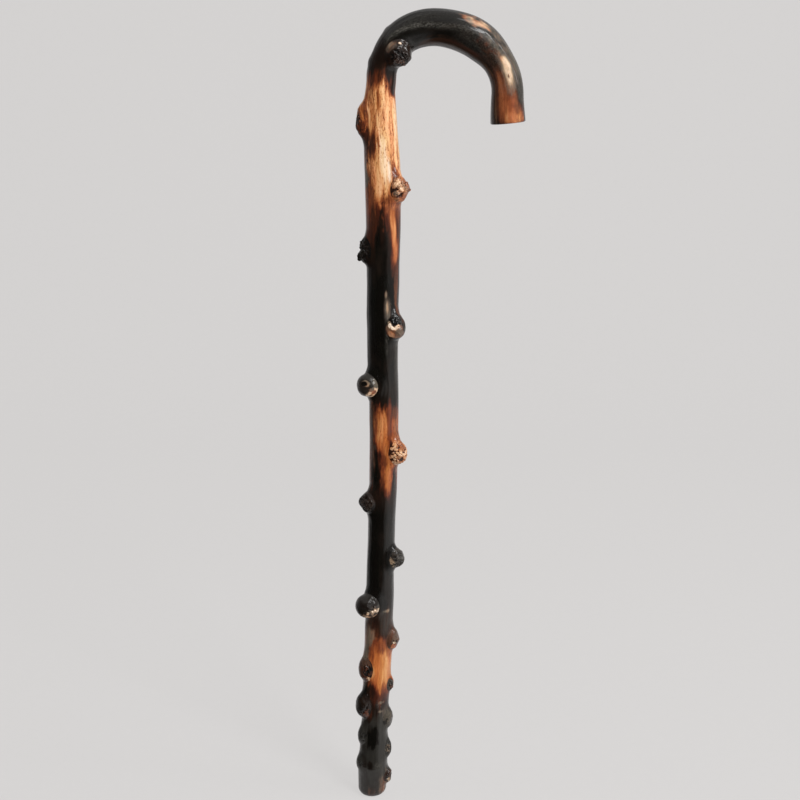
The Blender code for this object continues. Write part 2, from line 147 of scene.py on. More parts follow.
# Where the knife trimmed the knots. A cut is given by the way it faces, as seen from the front: how far to
# the right and how far up, and by how far out it lies. All three are shares of the knot's own size.
CUTS = {
    "crook_knot": ((0.90, -0.05, 0.78), (0.20, -0.92, 0.74), (0.62, 0.10, 0.80)),
    "knot_01": ((-0.92, 0.20, 0.80),),
    "knot_02": ((0.62, -0.66, 0.66), (0.30, 0.90, 0.72), (0.30, 0.10, 0.84)),
    "knot_04": ((0.55, 0.55, 0.84), (-0.10, -0.60, 0.86)),
    "knot_05": ((0.35, -0.45, 0.84), (-0.40, 0.30, 0.90)),
    "knot_06": ((0.45, 0.75, 0.86),),
    "knot_07": ((-0.55, -0.60, 0.68), (-0.50, 0.76, 0.70), (-0.10, 0.05, 0.76)),
    "knot_08": ((0.85, 0.40, 0.84), (0.45, -0.45, 0.80)),
    "knot_09": ((0.30, -0.72, 0.78), (0.30, 0.35, 0.90)),
    "knot_10": ((0.80, 0.52, 0.76), (0.70, -0.60, 0.78)),
    "knot_11": ((0.10, -0.30, 0.86),),
    "knot_13": ((0.25, -0.55, 0.80), (-0.85, 0.10, 0.88)),
    "knot_14": ((0.80, -0.40, 0.80),),
    "knot_18": ((0.96, -0.12, 0.72),),
}
# Lobes and hollows: the same two directions, the size as a share of the knot's, and how far out or in.
LOBES = {
    "crook_knot": ((0.25, 0.60, 0.50, -0.14), (0.60, -0.55, 0.40, 0.05)),
    "knot_01": ((-0.95, 0.05, 0.45, -0.16), (-0.75, -0.55, 0.50, 0.10)),
    "knot_02": ((0.10, 0.05, 0.42, -0.22), (0.35, 0.62, 0.40, 0.16), (0.70, 0.20, 0.45, 0.12)),
    "knot_03": ((-0.66, 0.70, 0.45, 0.35), (-0.95, 0.15, 0.34, -0.80), (-0.88, -0.36, 0.55, 0.70)),
    "knot_04": ((-0.05, 0.38, 0.62, -0.34), (0.20, -0.55, 0.60, 0.14), (-0.70, -0.20, 0.40, 0.12)),
    "knot_05": ((-0.38, 0.16, 0.30, -0.18), (0.30, -0.62, 0.40, 0.10), (-0.38, 0.16, 0.62, 0.05)),
    "knot_06": ((0.25, -0.20, 0.36, -0.12), (-0.25, 0.30, 0.40, 0.10), (0.60, 0.25, 0.40, 0.10)),
    "knot_07": ((-0.85, 0.45, 0.40, 0.28), (-0.90, -0.25, 0.40, 0.18), (-0.15, -0.15, 0.40, -0.16)),
    "knot_08": ((-0.20, -0.20, 0.45, -0.16), (0.50, 0.30, 0.45, 0.08)),
    "knot_09": ((0.25, -0.45, 0.42, -0.16), (-0.35, 0.45, 0.60, 0.08), (0.68, -0.25, 0.35, 0.12)),
    "knot_10": ((0.85, 0.10, 0.40, 0.20), (0.45, -0.35, 0.40, -0.14)),
    "knot_11": ((0.10, 0.00, 0.36, -0.20), (0.45, -0.60, 0.40, 0.14)),
    "knot_13": ((0.15, 0.05, 0.40, -0.16), (0.40, -0.62, 0.40, 0.12)),
    "knot_15": ((0.20, 0.00, 0.45, -0.14),),
    "knot_17": ((0.05, -0.10, 0.40, -0.20),),
    "knot_18": ((0.95, 0.15, 0.45, -0.14),),
}
# Spurs left standing beside the cuts: the two directions, the size and how far out, as with the lobes.
SPURS = {
    "crook_knot": ((0.66, -0.68, 0.26, 0.14),),
    "knot_02": ((0.72, 0.66, 0.22, 0.30), (0.46, 0.86, 0.18, 0.20), (0.97, -0.05, 0.26, 0.22)),
    "knot_03": ((-0.94, -0.24, 0.24, 0.15),),
    "knot_07": ((-0.80, 0.56, 0.28, 0.22),),
    "knot_10": ((0.90, 0.15, 0.24, 0.16),),
}

# A knot's surface. Foot is how far its skin runs out over the collar, as a share of its size. Rough is
# where it is broken open: patches as (right, up, size) as seen from the front, in shares of the knot's
# size. Nubs are how many grains would cover the whole of it, with their height and the height of its
# crumble in millimetres.
Face = namedtuple("Face", "foot rough nubs nub_height crumble")
PLAIN_FACE = Face(0.45, ((0, 0, 0.7),), 90, 0.7, 0.7)
FACES = {
    "crook_knot": Face(0.32, ((0.62, -0.25, 0.9),), 150, 1.2, 0.9),
    "knot_01": Face(0.5, ((-0.9, 0, 0.6),), 50, 1, 1),
    "knot_02": Face(0.25, ((-0.05, 0.25, 0.95),), 34, 2.8, 0.6),
    "knot_03": Face(0.4, ((-0.75, 0.2, 1.5),), 60, 1.3, 1.2),
    "knot_04": Face(0.3, ((0, 0.66, 0.66),), 70, 1.5, 0.9),
    "knot_05": Face(0.12, (), 70, 0.5, 0.5),
    "knot_06": Face(0.2, ((0.1, -0.05, 1.25),), 130, 1.8, 0.6),
    "knot_07": Face(0.3, ((-0.4, 0, 1.3),), 50, 1, 1),
    "knot_08": Face(0.2, ((0, 0, 1.2),), 110, 1.2, 0.8),
    "knot_09": Face(0.1, ((0.26, -0.62, 0.9),), 90, 2, 1.2),
    "knot_10": Face(0.45, ((0.55, -0.2, 0.36),), 80, 0.9, 0.9),
    "knot_11": Face(0.35, ((0.1, 0, 0.7), (0.35, -0.6, 0.5)), 90, 1.1, 0.9),
    "knot_12": Face(0.45, ((0.4, -0.2, 0.9),), 60, 1.5, 1),
    "knot_13": Face(0.3, ((0.1, -0.4, 0.8),), 90, 0.9, 0.9),
    "knot_16": Face(0.45, ((0.4, 0, 0.9),), 90, 0.8, 0.8),
    "knot_18": Face(0.25, ((0.7, -0.2, 0.9),), 110, 0.9, 0.9),
}
# Spots on the knots, laid one after another over the stem's own paint: right, up, size, how burnt, how pale.
SPOTS = {
    "crook_knot": (
        (0, 0, 2.2, 0.94, 0.8), (-0.66, 0.1, 0.52, 0.76, 1.5), (-0.74, 0.16, 0.34, 0.58, 1.7),
        # the small near-white spot at the top left is a painted highlight
        (-0.4, 0.72, 0.15, 0.04, 2), (0.5, -0.62, 0.45, 0.78, 1.4),
    ),
    "knot_01": (
        (-0.4, 0.1, 1.1, 0.46, 0.3), (-0.35, -0.55, 0.6, 0.68, 0.2), (-0.94, -0.05, 0.62, 0.84, 1.3),
        # the pale spot on the left edge is a painted highlight
        (-0.85, 0.42, 0.22, 0.22, 1.9),
    ),
    "knot_02": (
        (0.3, 0, 1.5, 0.5, 1.1), (-0.05, 0.25, 0.9, 0.46, 1.4), (-0.05, 0.62, 0.34, 0.18, 1.5),
        (-0.35, -0.15, 0.32, 0.62, 1.6), (0.35, 0.15, 0.26, 0.24, 1.6), (0.45, -0.88, 0.5, 0.46, 0.6),
    ),
    "knot_03": ((-0.5, 0, 2.2, 0.97, 0.8),),
    "knot_04": (
        (0.1, -0.2, 0.95, 0.62, 1.5), (-0.25, -0.5, 0.36, 0.36, 1.3), (0.5, -0.3, 0.4, 0.7, 2),
        (0, 0.75, 0.62, 1, 0.8), (-0.56, 0.46, 0.2, 0.16, 2), (-0.34, 0.26, 0.24, 0.04, 2),
        (-0.06, 0.14, 0.22, 0.02, 2), (0.2, 0.18, 0.24, 0.02, 2), (0.44, 0.32, 0.22, 0.16, 1.8),
    ),
    "knot_05": (
        (0, 0, 2, 0.95, 1.5), (-0.42, 0.42, 0.34, 0.48, 2), (-0.53, 0.38, 0.26, 1, 1.2),
        (0.3, -0.55, 0.7, 0.22, 1.9), (0, -0.2, 0.26, 0.66, 1.8), (0.24, -0.48, 0.26, 0.56, 1.2),
        # the grey ash patch at the upper right is a painted highlight
        (0.1, -0.76, 0.13, 0.78, 1), (0.48, 0.32, 0.5, 0.74, 2),
    ),
    "knot_06": (
        (0.1, -0.1, 1.5, 0.32, 1.4), (0.4, 0.8, 0.5, 0.52, 0.9), (0.5, -0.7, 0.4, 0.44, 1.2),
    ),
    "knot_07": ((-0.2, 0, 0.9, 0.9, 1.4),),
    "knot_08": ((0, 0, 2, 0.88, 1.8), (-0.4, -0.3, 0.6, 0.46, 2)),
    "knot_09": (
        (0, 0, 2, 0.97, 1.2), (0.28, -0.6, 0.88, 0.58, 1.9), (0.2, -0.76, 0.5, 0.36, 1.7),
        # the four near-white spots along the facet's upper edge are painted highlights
        (0.42, -0.52, 0.2, 0.86, 1.4), (-0.2, -0.26, 0.18, 0.16, 2), (0.08, -0.14, 0.2, 0.04, 2),
        (0.58, -0.18, 0.22, 0.02, 2), (0.74, -0.4, 0.18, 0.08, 2),
    ),
    "knot_10": (
        (0.3, 0.2, 1.6, 0.74, 1.3), (0.3, -0.7, 0.5, 0.46, 0.6), (0.5, -0.16, 0.22, 0.12, 2),
    ),
    "knot_11": (
        (0, 0, 1.6, 0.8, 1.2), (0.15, 0.05, 0.56, 0.78, 0.5), (0.2, 0.02, 0.22, 1, 0.5),
        # a painted pinkish highlight low on the right
        (0.42, -0.64, 0.34, 0.3, 1.8),
    ),
    "knot_12": ((0.3, 0, 1.2, 0.84, 1.9), (0.6, -0.3, 0.4, 0.72, 1.2)),
    "knot_13": ((0, 0, 1.2, 0.94, 1), (0.12, -0.6, 0.5, 0.72, 1)),
    "knot_16": ((0.4, 0.1, 0.7, 0.7, 2),),
    "knot_18": ((0.5, 0.2, 1.2, 0.86, 1), (0.6, -0.45, 0.5, 0.44, 2)),
}
SUNFLOWER_TURN = 2.39996
CRUMB = 1.5 * MM
# Below its foot a knot's skin sinks a little, then runs in to a root as a cone of these shares of its rim.
FOOT_SINKS = 0.2 * MM
ROOT_DEPTH = 8 * MM
ROOT_SHARES = np.array([0.8, 0.3])

# How finely the surfaces are made.
STEM_STEP = 1.15 * MM
STEM_SIDES = 106
KNOT_ROWS = 58
KNOT_SIDES = 120

# How the grain runs: it parts round a knot in a round patch of this share of the knot's width, whose pull
# reaches so many times as far and is drawn out along the stem, and it wanders by so much of a radian.
PARTING_SIZE = 0.55
PARTING_REACH = 4.5
PARTING_STRETCH = 1.3
GRAIN_WANDER = 0.20
USUAL_RADIUS = 15.5 * MM

# What the flame left round the stick at each distance from the tip in millimetres: how burnt it is, from 0
# for bare wood to 1 for black, how pale it is, from 0 for orange wood by 1 for cream wood to 2 for bare
# flesh, which burns to grey ash and not to soot, and how strongly the grain shows.
BANDS = (
    (0, 0.95, 0.8, 0.7),
    # Over the black stretch above the tip, the grey ash tone is a painted reflection of the pale floor and
    # room in the lacquer.
    (20, 0.96, 1.7, 0.7),
    (90, 0.95, 1.9, 0.6),
    (103, 0.93, 1.4, 0.6),
    (118, 0.86, 0.0, 0.6),
    (130, 0.64, 0.0, 0.6),
    (146, 0.34, 0.1, 0.6),
    (176, 0.32, 0.1, 0.5),
    (190, 0.60, 0.3, 0.5),
    (204, 0.80, 0.8, 0.5),
    (222, 0.91, 0.8, 0.5),
    (238, 1.00, 0.4, 0.5),
    (340, 1.00, 0.4, 0.5),
    (362, 0.86, 0.0, 0.6),
    (382, 0.58, 0.0, 0.7),
    (425, 0.42, 0.0, 0.7),
    (455, 0.58, 0.0, 0.7),
    (466, 0.90, 0.0, 0.6),
    (485, 0.97, 0.0, 0.5),
    (600, 1.00, 0.2, 0.5),
    (630, 0.88, 0.0, 0.5),
    (660, 0.70, 0.2, 0.6),
    (690, 0.46, 0.5, 0.8),
    (712, 0.28, 0.8, 1.0),
    (790, 0.28, 0.7, 1.0),
    (803, 0.62, 0.3, 0.9),
    (818, 0.90, 0.1, 0.6),
    (835, 0.97, 0.3, 0.4),
    (1022, 0.94, 0.6, 0.3),
)

# Marks laid over the bands, one after another, as a scorcher lays them: the middle's distance from the tip in
# millimetres and its angle, half the length and half the width, and how burnt and how pale the wood is there.
MARKS = (
    # the tip and the black stretch above it
    (16, 42, 18, 26, 0.68, 1.5),
    (8, 88, 7, 24, 0.84, 1.2),
    # painted reflection: the black middle at the front, where the lacquer would mirror a dark front
    (74, 94, 17, 32, 1, 0),
    (42, 100, 7, 18, 0.98, 0.8),
    (40, 250, 22, 30, 0.8, 0),
    # the lowest honey stretch
    (105, 118, 9, 18, 0.82, 0),
    (104, 40, 12, 20, 0.78, 2),
    (126, 82, 12, 22, 0.74, 0),
    (128, 138, 24, 26, 1, 0.8),
    (132, 106, 9, 14, 0.86, 0),
    (152, 72, 18, 24, 0.13, 0.1),
    (158, 50, 20, 30, 0.1, 0.3),
    (172, 70, 12, 18, 0.17, 0.2),
    (170, 140, 30, 25, 0.68, 1.8),
    (155, 112, 5, 10, 0.26, 0.6),
    (174, 112, 16, 8, 0.5, 0),
    (200, 124, 18, 25, 0.64, 1.7),
    (214, 116, 8, 18, 0.88, 1.2),
    (214, 66, 17, 32, 0.88, 1.3),
    (188, 84, 9, 24, 0.52, 0),
    (190, 36, 8, 14, 0.48, 1),
    (160, 250, 30, 40, 0.15, 0.3),
    (140, 300, 26, 22, 0.72, 0),
    # thin pale lines: painted glints where fine scratches in the lacquer catch the light
    (229, 60, 2, 15, 0.56, 2),
    (119, 60, 1.5, 16, 0.66, 1.9),
    (108, 64, 1.5, 14, 0.68, 1.9),
    # the middle orange stretch
    (394, 128, 34, 29, 1, 0.2),
    (404, 102, 14, 12, 0.84, 0.1),
    (376, 40, 20, 16, 0.92, 0),
    (388, 68, 26, 17, 0.34, 0),
    (436, 98, 23, 25, 0.24, 0.1),
    (402, 92, 8, 18, 0.64, 0),
    (432, 40, 18, 22, 0.56, 0.9),
    (455, 48, 8, 24, 0.74, 0.6),
    (442, 65, 28, 10, 0.62, 0),
    (419, 64, 7, 5, 0.9, 0),
    (428, 146, 40, 24, 0.8, 1.4),
    (442, 124, 14, 10, 0.52, 0.3),
    (420, 250, 40, 34, 0.3, 0.2),
    (395, 310, 30, 24, 0.85, 0),
    # an olive side under the fourth knot, a torn pale edge over it, and the streak up to the palest stretch
    (515, 28, 44, 15, 0.94, 1.8),
    (566, 72, 18, 12, 0.76, 1.9),
    (570, 74, 8, 4, 0.34, 2),
    (584, 78, 4, 4, 0.56, 1.9),
    (598, 34, 46, 14, 0.74, 1.1),
    (648, 48, 34, 20, 0.62, 0.1),
    (664, 57, 14, 9, 0.34, 0.3),
    (646, 48, 16, 11, 0.22, 0.4),
    (628, 40, 14, 10, 0.36, 0.4),
    (654, 108, 28, 26, 0.78, 0),
    (630, 96, 30, 26, 1, 0.1),
    (656, 92, 22, 9, 0.92, 0),
    (680, 76, 6, 10, 0.66, 0),
    (650, 230, 50, 30, 0.55, 0.1),
    # the palest stretch, under the crook
    (700, 98, 20, 26, 0.12, 0.7),
    (748, 122, 50, 24, 0.32, 0.4),
    (740, 56, 44, 24, 0.12, 0.8),
    (742, 82, 60, 21, 0.04, 0.9),
    (724, 86, 26, 10, 0.02, 1.3),
    (737, 117, 16, 12, 0.74, 0.1),
    (742, 150, 28, 29, 0.78, 0.2),
    (773, 108, 18, 4, 0.16, 0.7),
    (764, 128, 22, 4, 0.2, 0.7),
    (752, 99, 26, 3, 0.44, 0.2),
    (702, 154, 20, 24, 0.66, 2),
    (706, 49, 14, 14, 0.66, 0.3),
    # lightened here, painted light against the shadow that the crook knot casts on this stretch
    (779, 87, 22, 24, 0.01, 0.9),
    (772, 112, 20, 30, 0.18, 0.7),
    (776, 150, 20, 16, 0.54, 0.4),
    (781, 100, 13, 4, 0.5, 0.1),
    (797, 36, 14, 22, 0.9, 0.2),
    (712, 66, 12, 7, 0.08, 1.8),
    (740, 240, 50, 34, 0.14, 0.8),
    (770, 310, 34, 22, 0.6, 0),
    # the crook
    (803, 126, 10, 36, 0.7, 0.2),
    (817, 140, 11, 44, 0.93, 0.3),
    (826, 112, 12, 16, 0.94, 0.3),
    (813, 52, 13, 30, 0.97, 0.3),
    (905, 34, 62, 26, 0.88, 0.6),
    (985, 34, 42, 22, 0.84, 0.6),
    (988, 72, 32, 24, 0.58, 0.8),
    (948, 82, 18, 26, 0.86, 0.9),
    (962, 142, 42, 28, 0.8, 1.9),
    (948, 112, 20, 12, 0.82, 1.9),
    (919, 142, 14, 26, 0.7, 1.3),
    (912, 138, 5, 16, 0.58, 0.9),
    (918, 127, 9, 15, 0.5, 1.6),
    (923, 135, 9, 18, 0.44, 1.7),
    (912, 160, 6, 11, 0.84, 1.5),
    (920, 147, 3, 7, 0.78, 1.6),
    (1006, 104, 22, 52, 0.58, 0.6),
    (1018, 114, 7, 40, 0.46, 0.9),
    (992, 138, 16, 20, 0.9, 1.7),
    (1006, 166, 18, 14, 0.9, 1),
    (988, 100, 9, 18, 0.76, 1.4),
    # the pale patch on the front of the nose and its halo: bare worn wood, painted paler and whiter as a
    # highlight
    (972, 100, 19, 22, 0.54, 1.7),
    (965, 108, 9, 14, 0.18, 2),
    (974, 101, 11, 13, 0.28, 2),
    (976, 98, 2, 3, 0.8, 1),
)

# Small rises on the stem that aren't knots: distance from the tip in millimetres, angle, height, spread.
BUMPS = (
    (36, 84, 1.0, 11),
    (58, 120, 0.8, 9),
    (72, 70, 0.7, 12),
    (816, 176, 1.1, 4),
    (806, 190, 0.9, 6),
    (843, 178, 0.8, 3),
    (560, 230, 0.9, 12),
    (330, 280, 0.8, 14),
)

# Scuffed places on the shaft, whose grey specks are also painted glints: distance from the tip in
# millimetres, angle, half the length, half the width.
SCUFFS_AND_GLINTS = (
    (228, 66, 4, 22),
    (117, 72, 10, 24),
    (42, 68, 5, 30),
    (540, 74, 40, 10),
    (562, 72, 16, 15),
    (574, 66, 6, 12),
)
# The outer side is thinly worn near the nose, about this angle in radians and this far to each side.
WORN_ANGLE = 1.8
WORN_WIDTH = 0.8

BACKDROP_GREY = (212, 210, 209)


class Branch:
    """The centre line measured by its length, with directions across it."""

    def __init__(self):
        heights, sideways, backwards = np.array(SHAFT_BOW).T
        z = np.linspace(0, heights[-1], 400)
        shaft = points_of(smooth_through(heights, sideways, z), smooth_through(heights, backwards, z), z)
        middle = np.array([sideways[-1] + BEND_RADIUS, 0, heights[-1]])
        turn = np.linspace(math.pi, 0, 120)[1:]
        radius = BEND_RADIUS + SHOULDER_SWELL * hump((turn - SHOULDER_ANGLE) / SHOULDER_WIDTH)
        radius = radius - FLAT_SPOT * hump((turn - FLAT_SPOT_ANGLE) / FLAT_SPOT_WIDTH)
        radius = radius - WAIST * hump((turn - WAIST_ANGLE) / WAIST_WIDTH)
        bend = middle + points_of(radius * np.cos(turn), 0, radius * np.sin(turn))
        drop = np.linspace(0, NOSE_DROP, 16)[1:]
        nose = bend[-1] + points_of(NOSE_FLARE * (drop / NOSE_DROP) ** 2, 0, -drop)
        self.points = np.concatenate([shaft, bend, nose])
        steps = np.linalg.norm(np.diff(self.points, axis=0), axis=1)
        self.lengths = np.concatenate([[0], np.cumsum(steps)])
        self.length = self.lengths[-1]

    def at(self, station):
        return points_of(*(np.interp(station, self.lengths, axis) for axis in self.points.T))

    def frame(self, station):
        """The centre, the way along, the way to the inner side and the way to the front."""
        reach = 0.006
        after = self.at(np.minimum(station + reach, self.length))
        before = self.at(np.maximum(station - reach, 0))
        along = unit(after - before)
        inner = unit(np.cross([0.0, 1.0, 0.0], along))
        return self.at(station), along, inner, np.cross(inner, along)

    def place(self, station, angle, radius):
        """Points on the centre line plus the radius times the way outwards, and the way outwards."""
        centre, _, inner, front = self.frame(station)
        outward = np.cos(angle)[..., None] * inner + np.sin(angle)[..., None] * front
        return centre + radius[..., None] * outward, outward


def points_of(x, y, z):
    """Points joined from their three parts, each a number or a grid."""
    return np.stack(np.broadcast_arrays(x, y, z), axis=-1)


def unit(vectors):
    return vectors / np.linalg.norm(vectors, axis=-1, keepdims=True)


def smooth_through(stations, values, at):
    """A cubic through each pair of values, with the slope at each that its neighbours give it."""
    slopes = np.gradient(values, stations)
    at = np.clip(at, stations[0], stations[-1])
    left = np.clip(np.searchsorted(stations, at, side="right") - 1, 0, len(stations) - 2)
    span = stations[left + 1] - stations[left]
    t = (at - stations[left]) / span
    return (
        values[left] * (2 * t**3 - 3 * t**2 + 1)
        + values[left + 1] * (3 * t**2 - 2 * t**3)
        + slopes[left] * span * (t**3 - 2 * t**2 + t)
        + slopes[left + 1] * span * (t**3 - t**2)
    )


def hump(distance):
    """1 in the middle, falling as half a cosine wave to 0 at a distance of 1 and beyond."""
    return 0.5 + 0.5 * np.cos(np.pi * np.clip(np.abs(distance), 0, 1))


def bell(distance):
    """1 in the middle, falling without an end, as the exponential of minus the distance squared."""
    return np.exp(-(distance**2))


def between(low, high, value):
    """0 below low and 1 above high, with an s-shaped rise between them."""
    t = np.clip((value - low) / (high - low), 0, 1)
    return t * t * (3 - 2 * t)


def over(start, full, fading, end, value):
    """1 from full to fading, with an s-shaped slope down to 0 at the start and at the end."""
    return between(start, full, value) * (1 - between(fading, end, value))


def wrapped(angle):
    """The angle in radians brought into half a turn either way."""
    return (angle + np.pi) % (2 * np.pi) - np.pi


def aside(angle, degrees):
    """How far round the stem an angle in radians is from one in degrees, in radians."""
    return wrapped(angle - math.radians(degrees))


# Smooth noise is made from a random slope at each whole-numbered point of space.
RANDOM = np.random.default_rng(41)
SHUFFLE = RANDOM.permutation(256)
SLOPES = unit(RANDOM.normal(size=(256, 3)))
NOISE_OFFSET = (0.37, 0.71, 0.13)


def noise(place):
    """From about -0.7 to 0.7: the slopes at the eight whole-numbered points around, each times the way from
    its point, blended by an s-shaped curve along each axis. The place is first set off from the axes, where
    noises of every scale would be flat together."""
    place = place + NOISE_OFFSET
    cell = np.floor(place).astype(int)
    within = place - cell
    ease = within**3 * (within * (within * 6 - 15) + 10)
    total = np.zeros(place.shape[:-1])
    for corner in np.ndindex(2, 2, 2):
        x, y, z = np.moveaxis(cell + corner, -1, 0) % 256
        slope = SLOPES[SHUFFLE[(SHUFFLE[(SHUFFLE[x] + y) % 256] + z) % 256]]
        weight = np.prod(np.where(corner, ease, 1 - ease), axis=-1)
        total += weight * np.sum(slope * (within - corner), axis=-1)
    return total


def rough(place, octaves=3):
    """Noise at several scales, each half as large and half as strong as the one before."""
    return sum(noise(place * 2**k + 17.3 * k) / 2**k for k in range(octaves))


def bare_radius(station):
    stations, radii = np.array(GIRTH).T
    return smooth_through(stations, radii, station)


def straightened(station, angle, radius=USUAL_RADIUS):
    """Where a point would lie if the branch were straight and upright: its grain is read there. The angle is
    first drawn aside round each knot, by its distance across times the knot's size squared over its distance
    squared, which parts the grain as water parts round a post. It also wanders a little on its way."""
    girth = bare_radius(station)
    shift = np.zeros(np.broadcast(station, angle).shape)
    for knot in KNOTS:
        along = (station - knot.station) / PARTING_STRETCH
        across = aside(angle, knot.angle) * girth
        size = PARTING_SIZE * knot.radius
        distance = np.hypot(along, across)
        parting = across * size**2 / np.maximum(distance, size) ** 2
        shift -= parting * hump(distance / (PARTING_REACH * size))
    wander = GRAIN_WANDER * noise(points_of(1.2 * np.cos(angle), 1.2 * np.sin(angle), 34 * station))
    turned = angle + shift / girth + wander
    return points_of(radius * np.cos(turned), radius * np.sin(turned), station)


def collars(station, angle):
    """The swelling round each knot: level inside its lip, then falling to the bare stem, the steeper the
    nearer to the lip. It stands lower beside a knot than above and below it."""
    total = np.zeros(np.broadcast(station, angle).shape)
    for knot in KNOTS:
        length = knot.length + COLLAR_WALL
        radius = knot.radius + COLLAR_WALL
        along = (station - knot.station) / length
        around = aside(angle, knot.angle) * bare_radius(station) / radius
        away = np.maximum(np.hypot(along, around), 1e-6)
        lengthways = (along / away) ** 2
        run_on = np.where(along > 0, knot.rise, knot.fall) / length
        spread = lengthways * run_on + (1 - lengthways) * COLLAR_SIDE / radius
        level = 1 - (1 - COLLAR_SIDE_LEVEL) * (1 - lengthways) * np.clip(away, 0, 1) ** 2
        total = total + knot.collar * level * (1 - np.clip((away - 1) / spread, 0, 1)) ** COLLAR_FALL
    return total


def solid_radius(branch, station, angle):
    """The bare girth, the collars, the ridge and hollow of the bend, and the branch's own shallow lumps, as
    the solids have them."""
    bend_length = math.pi * BEND_RADIUS
    bend_top = branch.length - NOSE_DROP - 0.5 * bend_length
    on_bend = hump((station - bend_top) / (PLANED_REACH * bend_length)) ** 0.5
    ridge = RIDGE_HEIGHT * hump((angle - RIDGE_ANGLE) / RIDGE_HALF_WIDTH)
    hollow = HOLLOW_DEPTH * hump((angle - HOLLOW_ANGLE) / HOLLOW_HALF_WIDTH)
    oval = OVAL_HEIGHT * np.cos(2 * angle + OVAL_TURN * station)
    lumps = LUMP_HEIGHT * np.sin(3 * angle + LUMP_TURN * station) * np.cos(LUMP_PACE * station)
    return bare_radius(station) + collars(station, angle) + on_bend * (ridge - hollow) + oval + lumps


def stem_radius(branch, station, angle):
    """The solids' radius, with the small rises, the fine flutes of the peeled wood, deeper where it was bent,
    and the knife's facets. A noise's three numbers are its waves per metre, fewest along the grain."""
    radius = solid_radius(branch, station, angle)
    for along, around, height, spread in BUMPS:
        away = np.hypot(station - along * MM, aside(angle, around) * USUAL_RADIUS)
        radius = radius + height * MM * bell(away / (spread * MM))
    grain = straightened(station, angle)
    flutes = 0.22 * noise(grain * (400, 400, 16)) + 0.10 * noise(grain * (650, 650, 40))
    facets = 0.28 * rough(grain * (110, 110, 34), 2)
    bent = over(0.83, 0.87, 0.975, 1.0, station)
    folds = 0.75 * noise(grain * (190, 190, 17)) + 0.30 * noise(grain * (330, 330, 60))
    folds = folds * (0.35 + 0.65 * np.sin(angle) ** 2)
    from_crest = angle - crest_line(station)
    crest = 0.8 * bell(wrapped(from_crest) / 0.16) * between(0.822, 0.835, station) * bent**0.2
    crease = 0.9 * bell((from_crest + 0.30) / 0.11) * hump((station - 0.945) / 0.035)
    return radius + (flutes + facets + bent * folds + crest - crease) * MM


def crest_line(station):
    """The angle of the crest that runs along the front of the bend: it swerves round the large knot, then
    turns outwards, and wavers all along."""
    swerve = 0.35 * hump((station - 0.833) / 0.03) - 0.22 * between(0.905, 0.940, station)
    return math.radians(98) + swerve + 0.10 * np.sin(station * 90)


def end_rounding(branch, station, radius):
    """The radius drawn in at the ends: by a quarter ellipse at the tip, and by a small one at the nose."""
    into_tip = np.clip(station / TIP_ROUNDING, 0, 1)
    tip = TIP_FLAT_RADIUS + (radius - TIP_FLAT_RADIUS) * np.sqrt(1 - (1 - into_tip) ** 2)
    into_nose = np.clip((branch.length - station) / NOSE_ROUNDING, 0, 1)
    return tip - NOSE_ROUNDING * (1 - np.sqrt(1 - (1 - into_nose) ** 2))


def squared_off(branch, station, points):
    """Rings near an end are slid along the branch until they lie parallel to that end's saw cut."""
    centre, along = branch.frame(station)[:2]
    tip_cut = np.array([0.0, 0.0, 1.0])
    nose_cut = np.array([math.sin(NOSE_SLANT), 0, -math.cos(NOSE_SLANT)])
    normal = along.copy()
    for cut, distance in ((tip_cut, station), (nose_cut, branch.length - station)):
        normal += hump(distance / SAW_CUT_REACH)[:, None] * (cut - along)
    offset = np.einsum("rsk,rk->rs", points - centre[:, None], normal)
    slide = offset / np.einsum("rk,rk->r", along, normal)[:, None]
    return points - along[:, None] * slide[:, :, None]


def burn(station, angle):
    """How burnt and how pale the stem is, and how much its grain shows: the band's value at each distance,
    then each mark in turn blended over it, its edge drawn out along the grain and torn by noise. Towards the
    nose the edges are softer, and on the outer flank of the bend fine patches are strewn over it all."""
    place = straightened(station, angle)
    ragged = rough(place * (240, 240, 24))
    torn = rough(place * (420, 420, 150))
    lengths, *values = np.array(BANDS).T
    reading = station / MM + 9 * noise(place * (120, 120, 12)) + 4 * ragged + 5 * torn
    char, tone, figure = (smooth_through(lengths, value, reading) for value in values)
    softer = 1 - 0.65 * between(0.925, 0.960, station)
    for middle, around, half_length, half_width, new_char, new_tone in MARKS:
        along = (station / MM - middle) / half_length
        across = aside(angle, around) / math.radians(half_width)
        broad = min(1.0, 0.25 + half_width / 30)
        tear = softer * broad * (0.75 * ragged + 0.35 * torn)
        share = 1 - between(0.45, 1.30, np.hypot(along, across) + tear)
        char, tone = laid_over(char, tone, share, new_char, new_tone)
    char = char + 0.35 * softer * ragged * char * (1 - char)
    patchy = between(0.900, 0.912, station) * (1 - 0.6 * between(0.945, 0.965, station))
    patchy = patchy * hump(aside(angle, 135) / math.radians(80)) ** 0.5
    char = char + patchy * 0.36 * rough(place * (320, 320, 210) + 5)
    tone = tone + patchy * 0.9 * noise(place * (260, 260, 160) + 9)
    return np.clip(char, 0, 1), np.clip(tone, 0, 2), figure


def laid_over(char, tone, share, new_char, new_tone):
    """A stroke laid by its share over what is there. How burnt the two are is blended evenly, but the paler
    of them keeps its own tone well into the seam, where the blacker one would only hide it."""
    keeps = np.where(new_char < char, share**0.4, share**2.5)
    return char + share * (new_char - char), tone + keeps * (new_tone - tone)


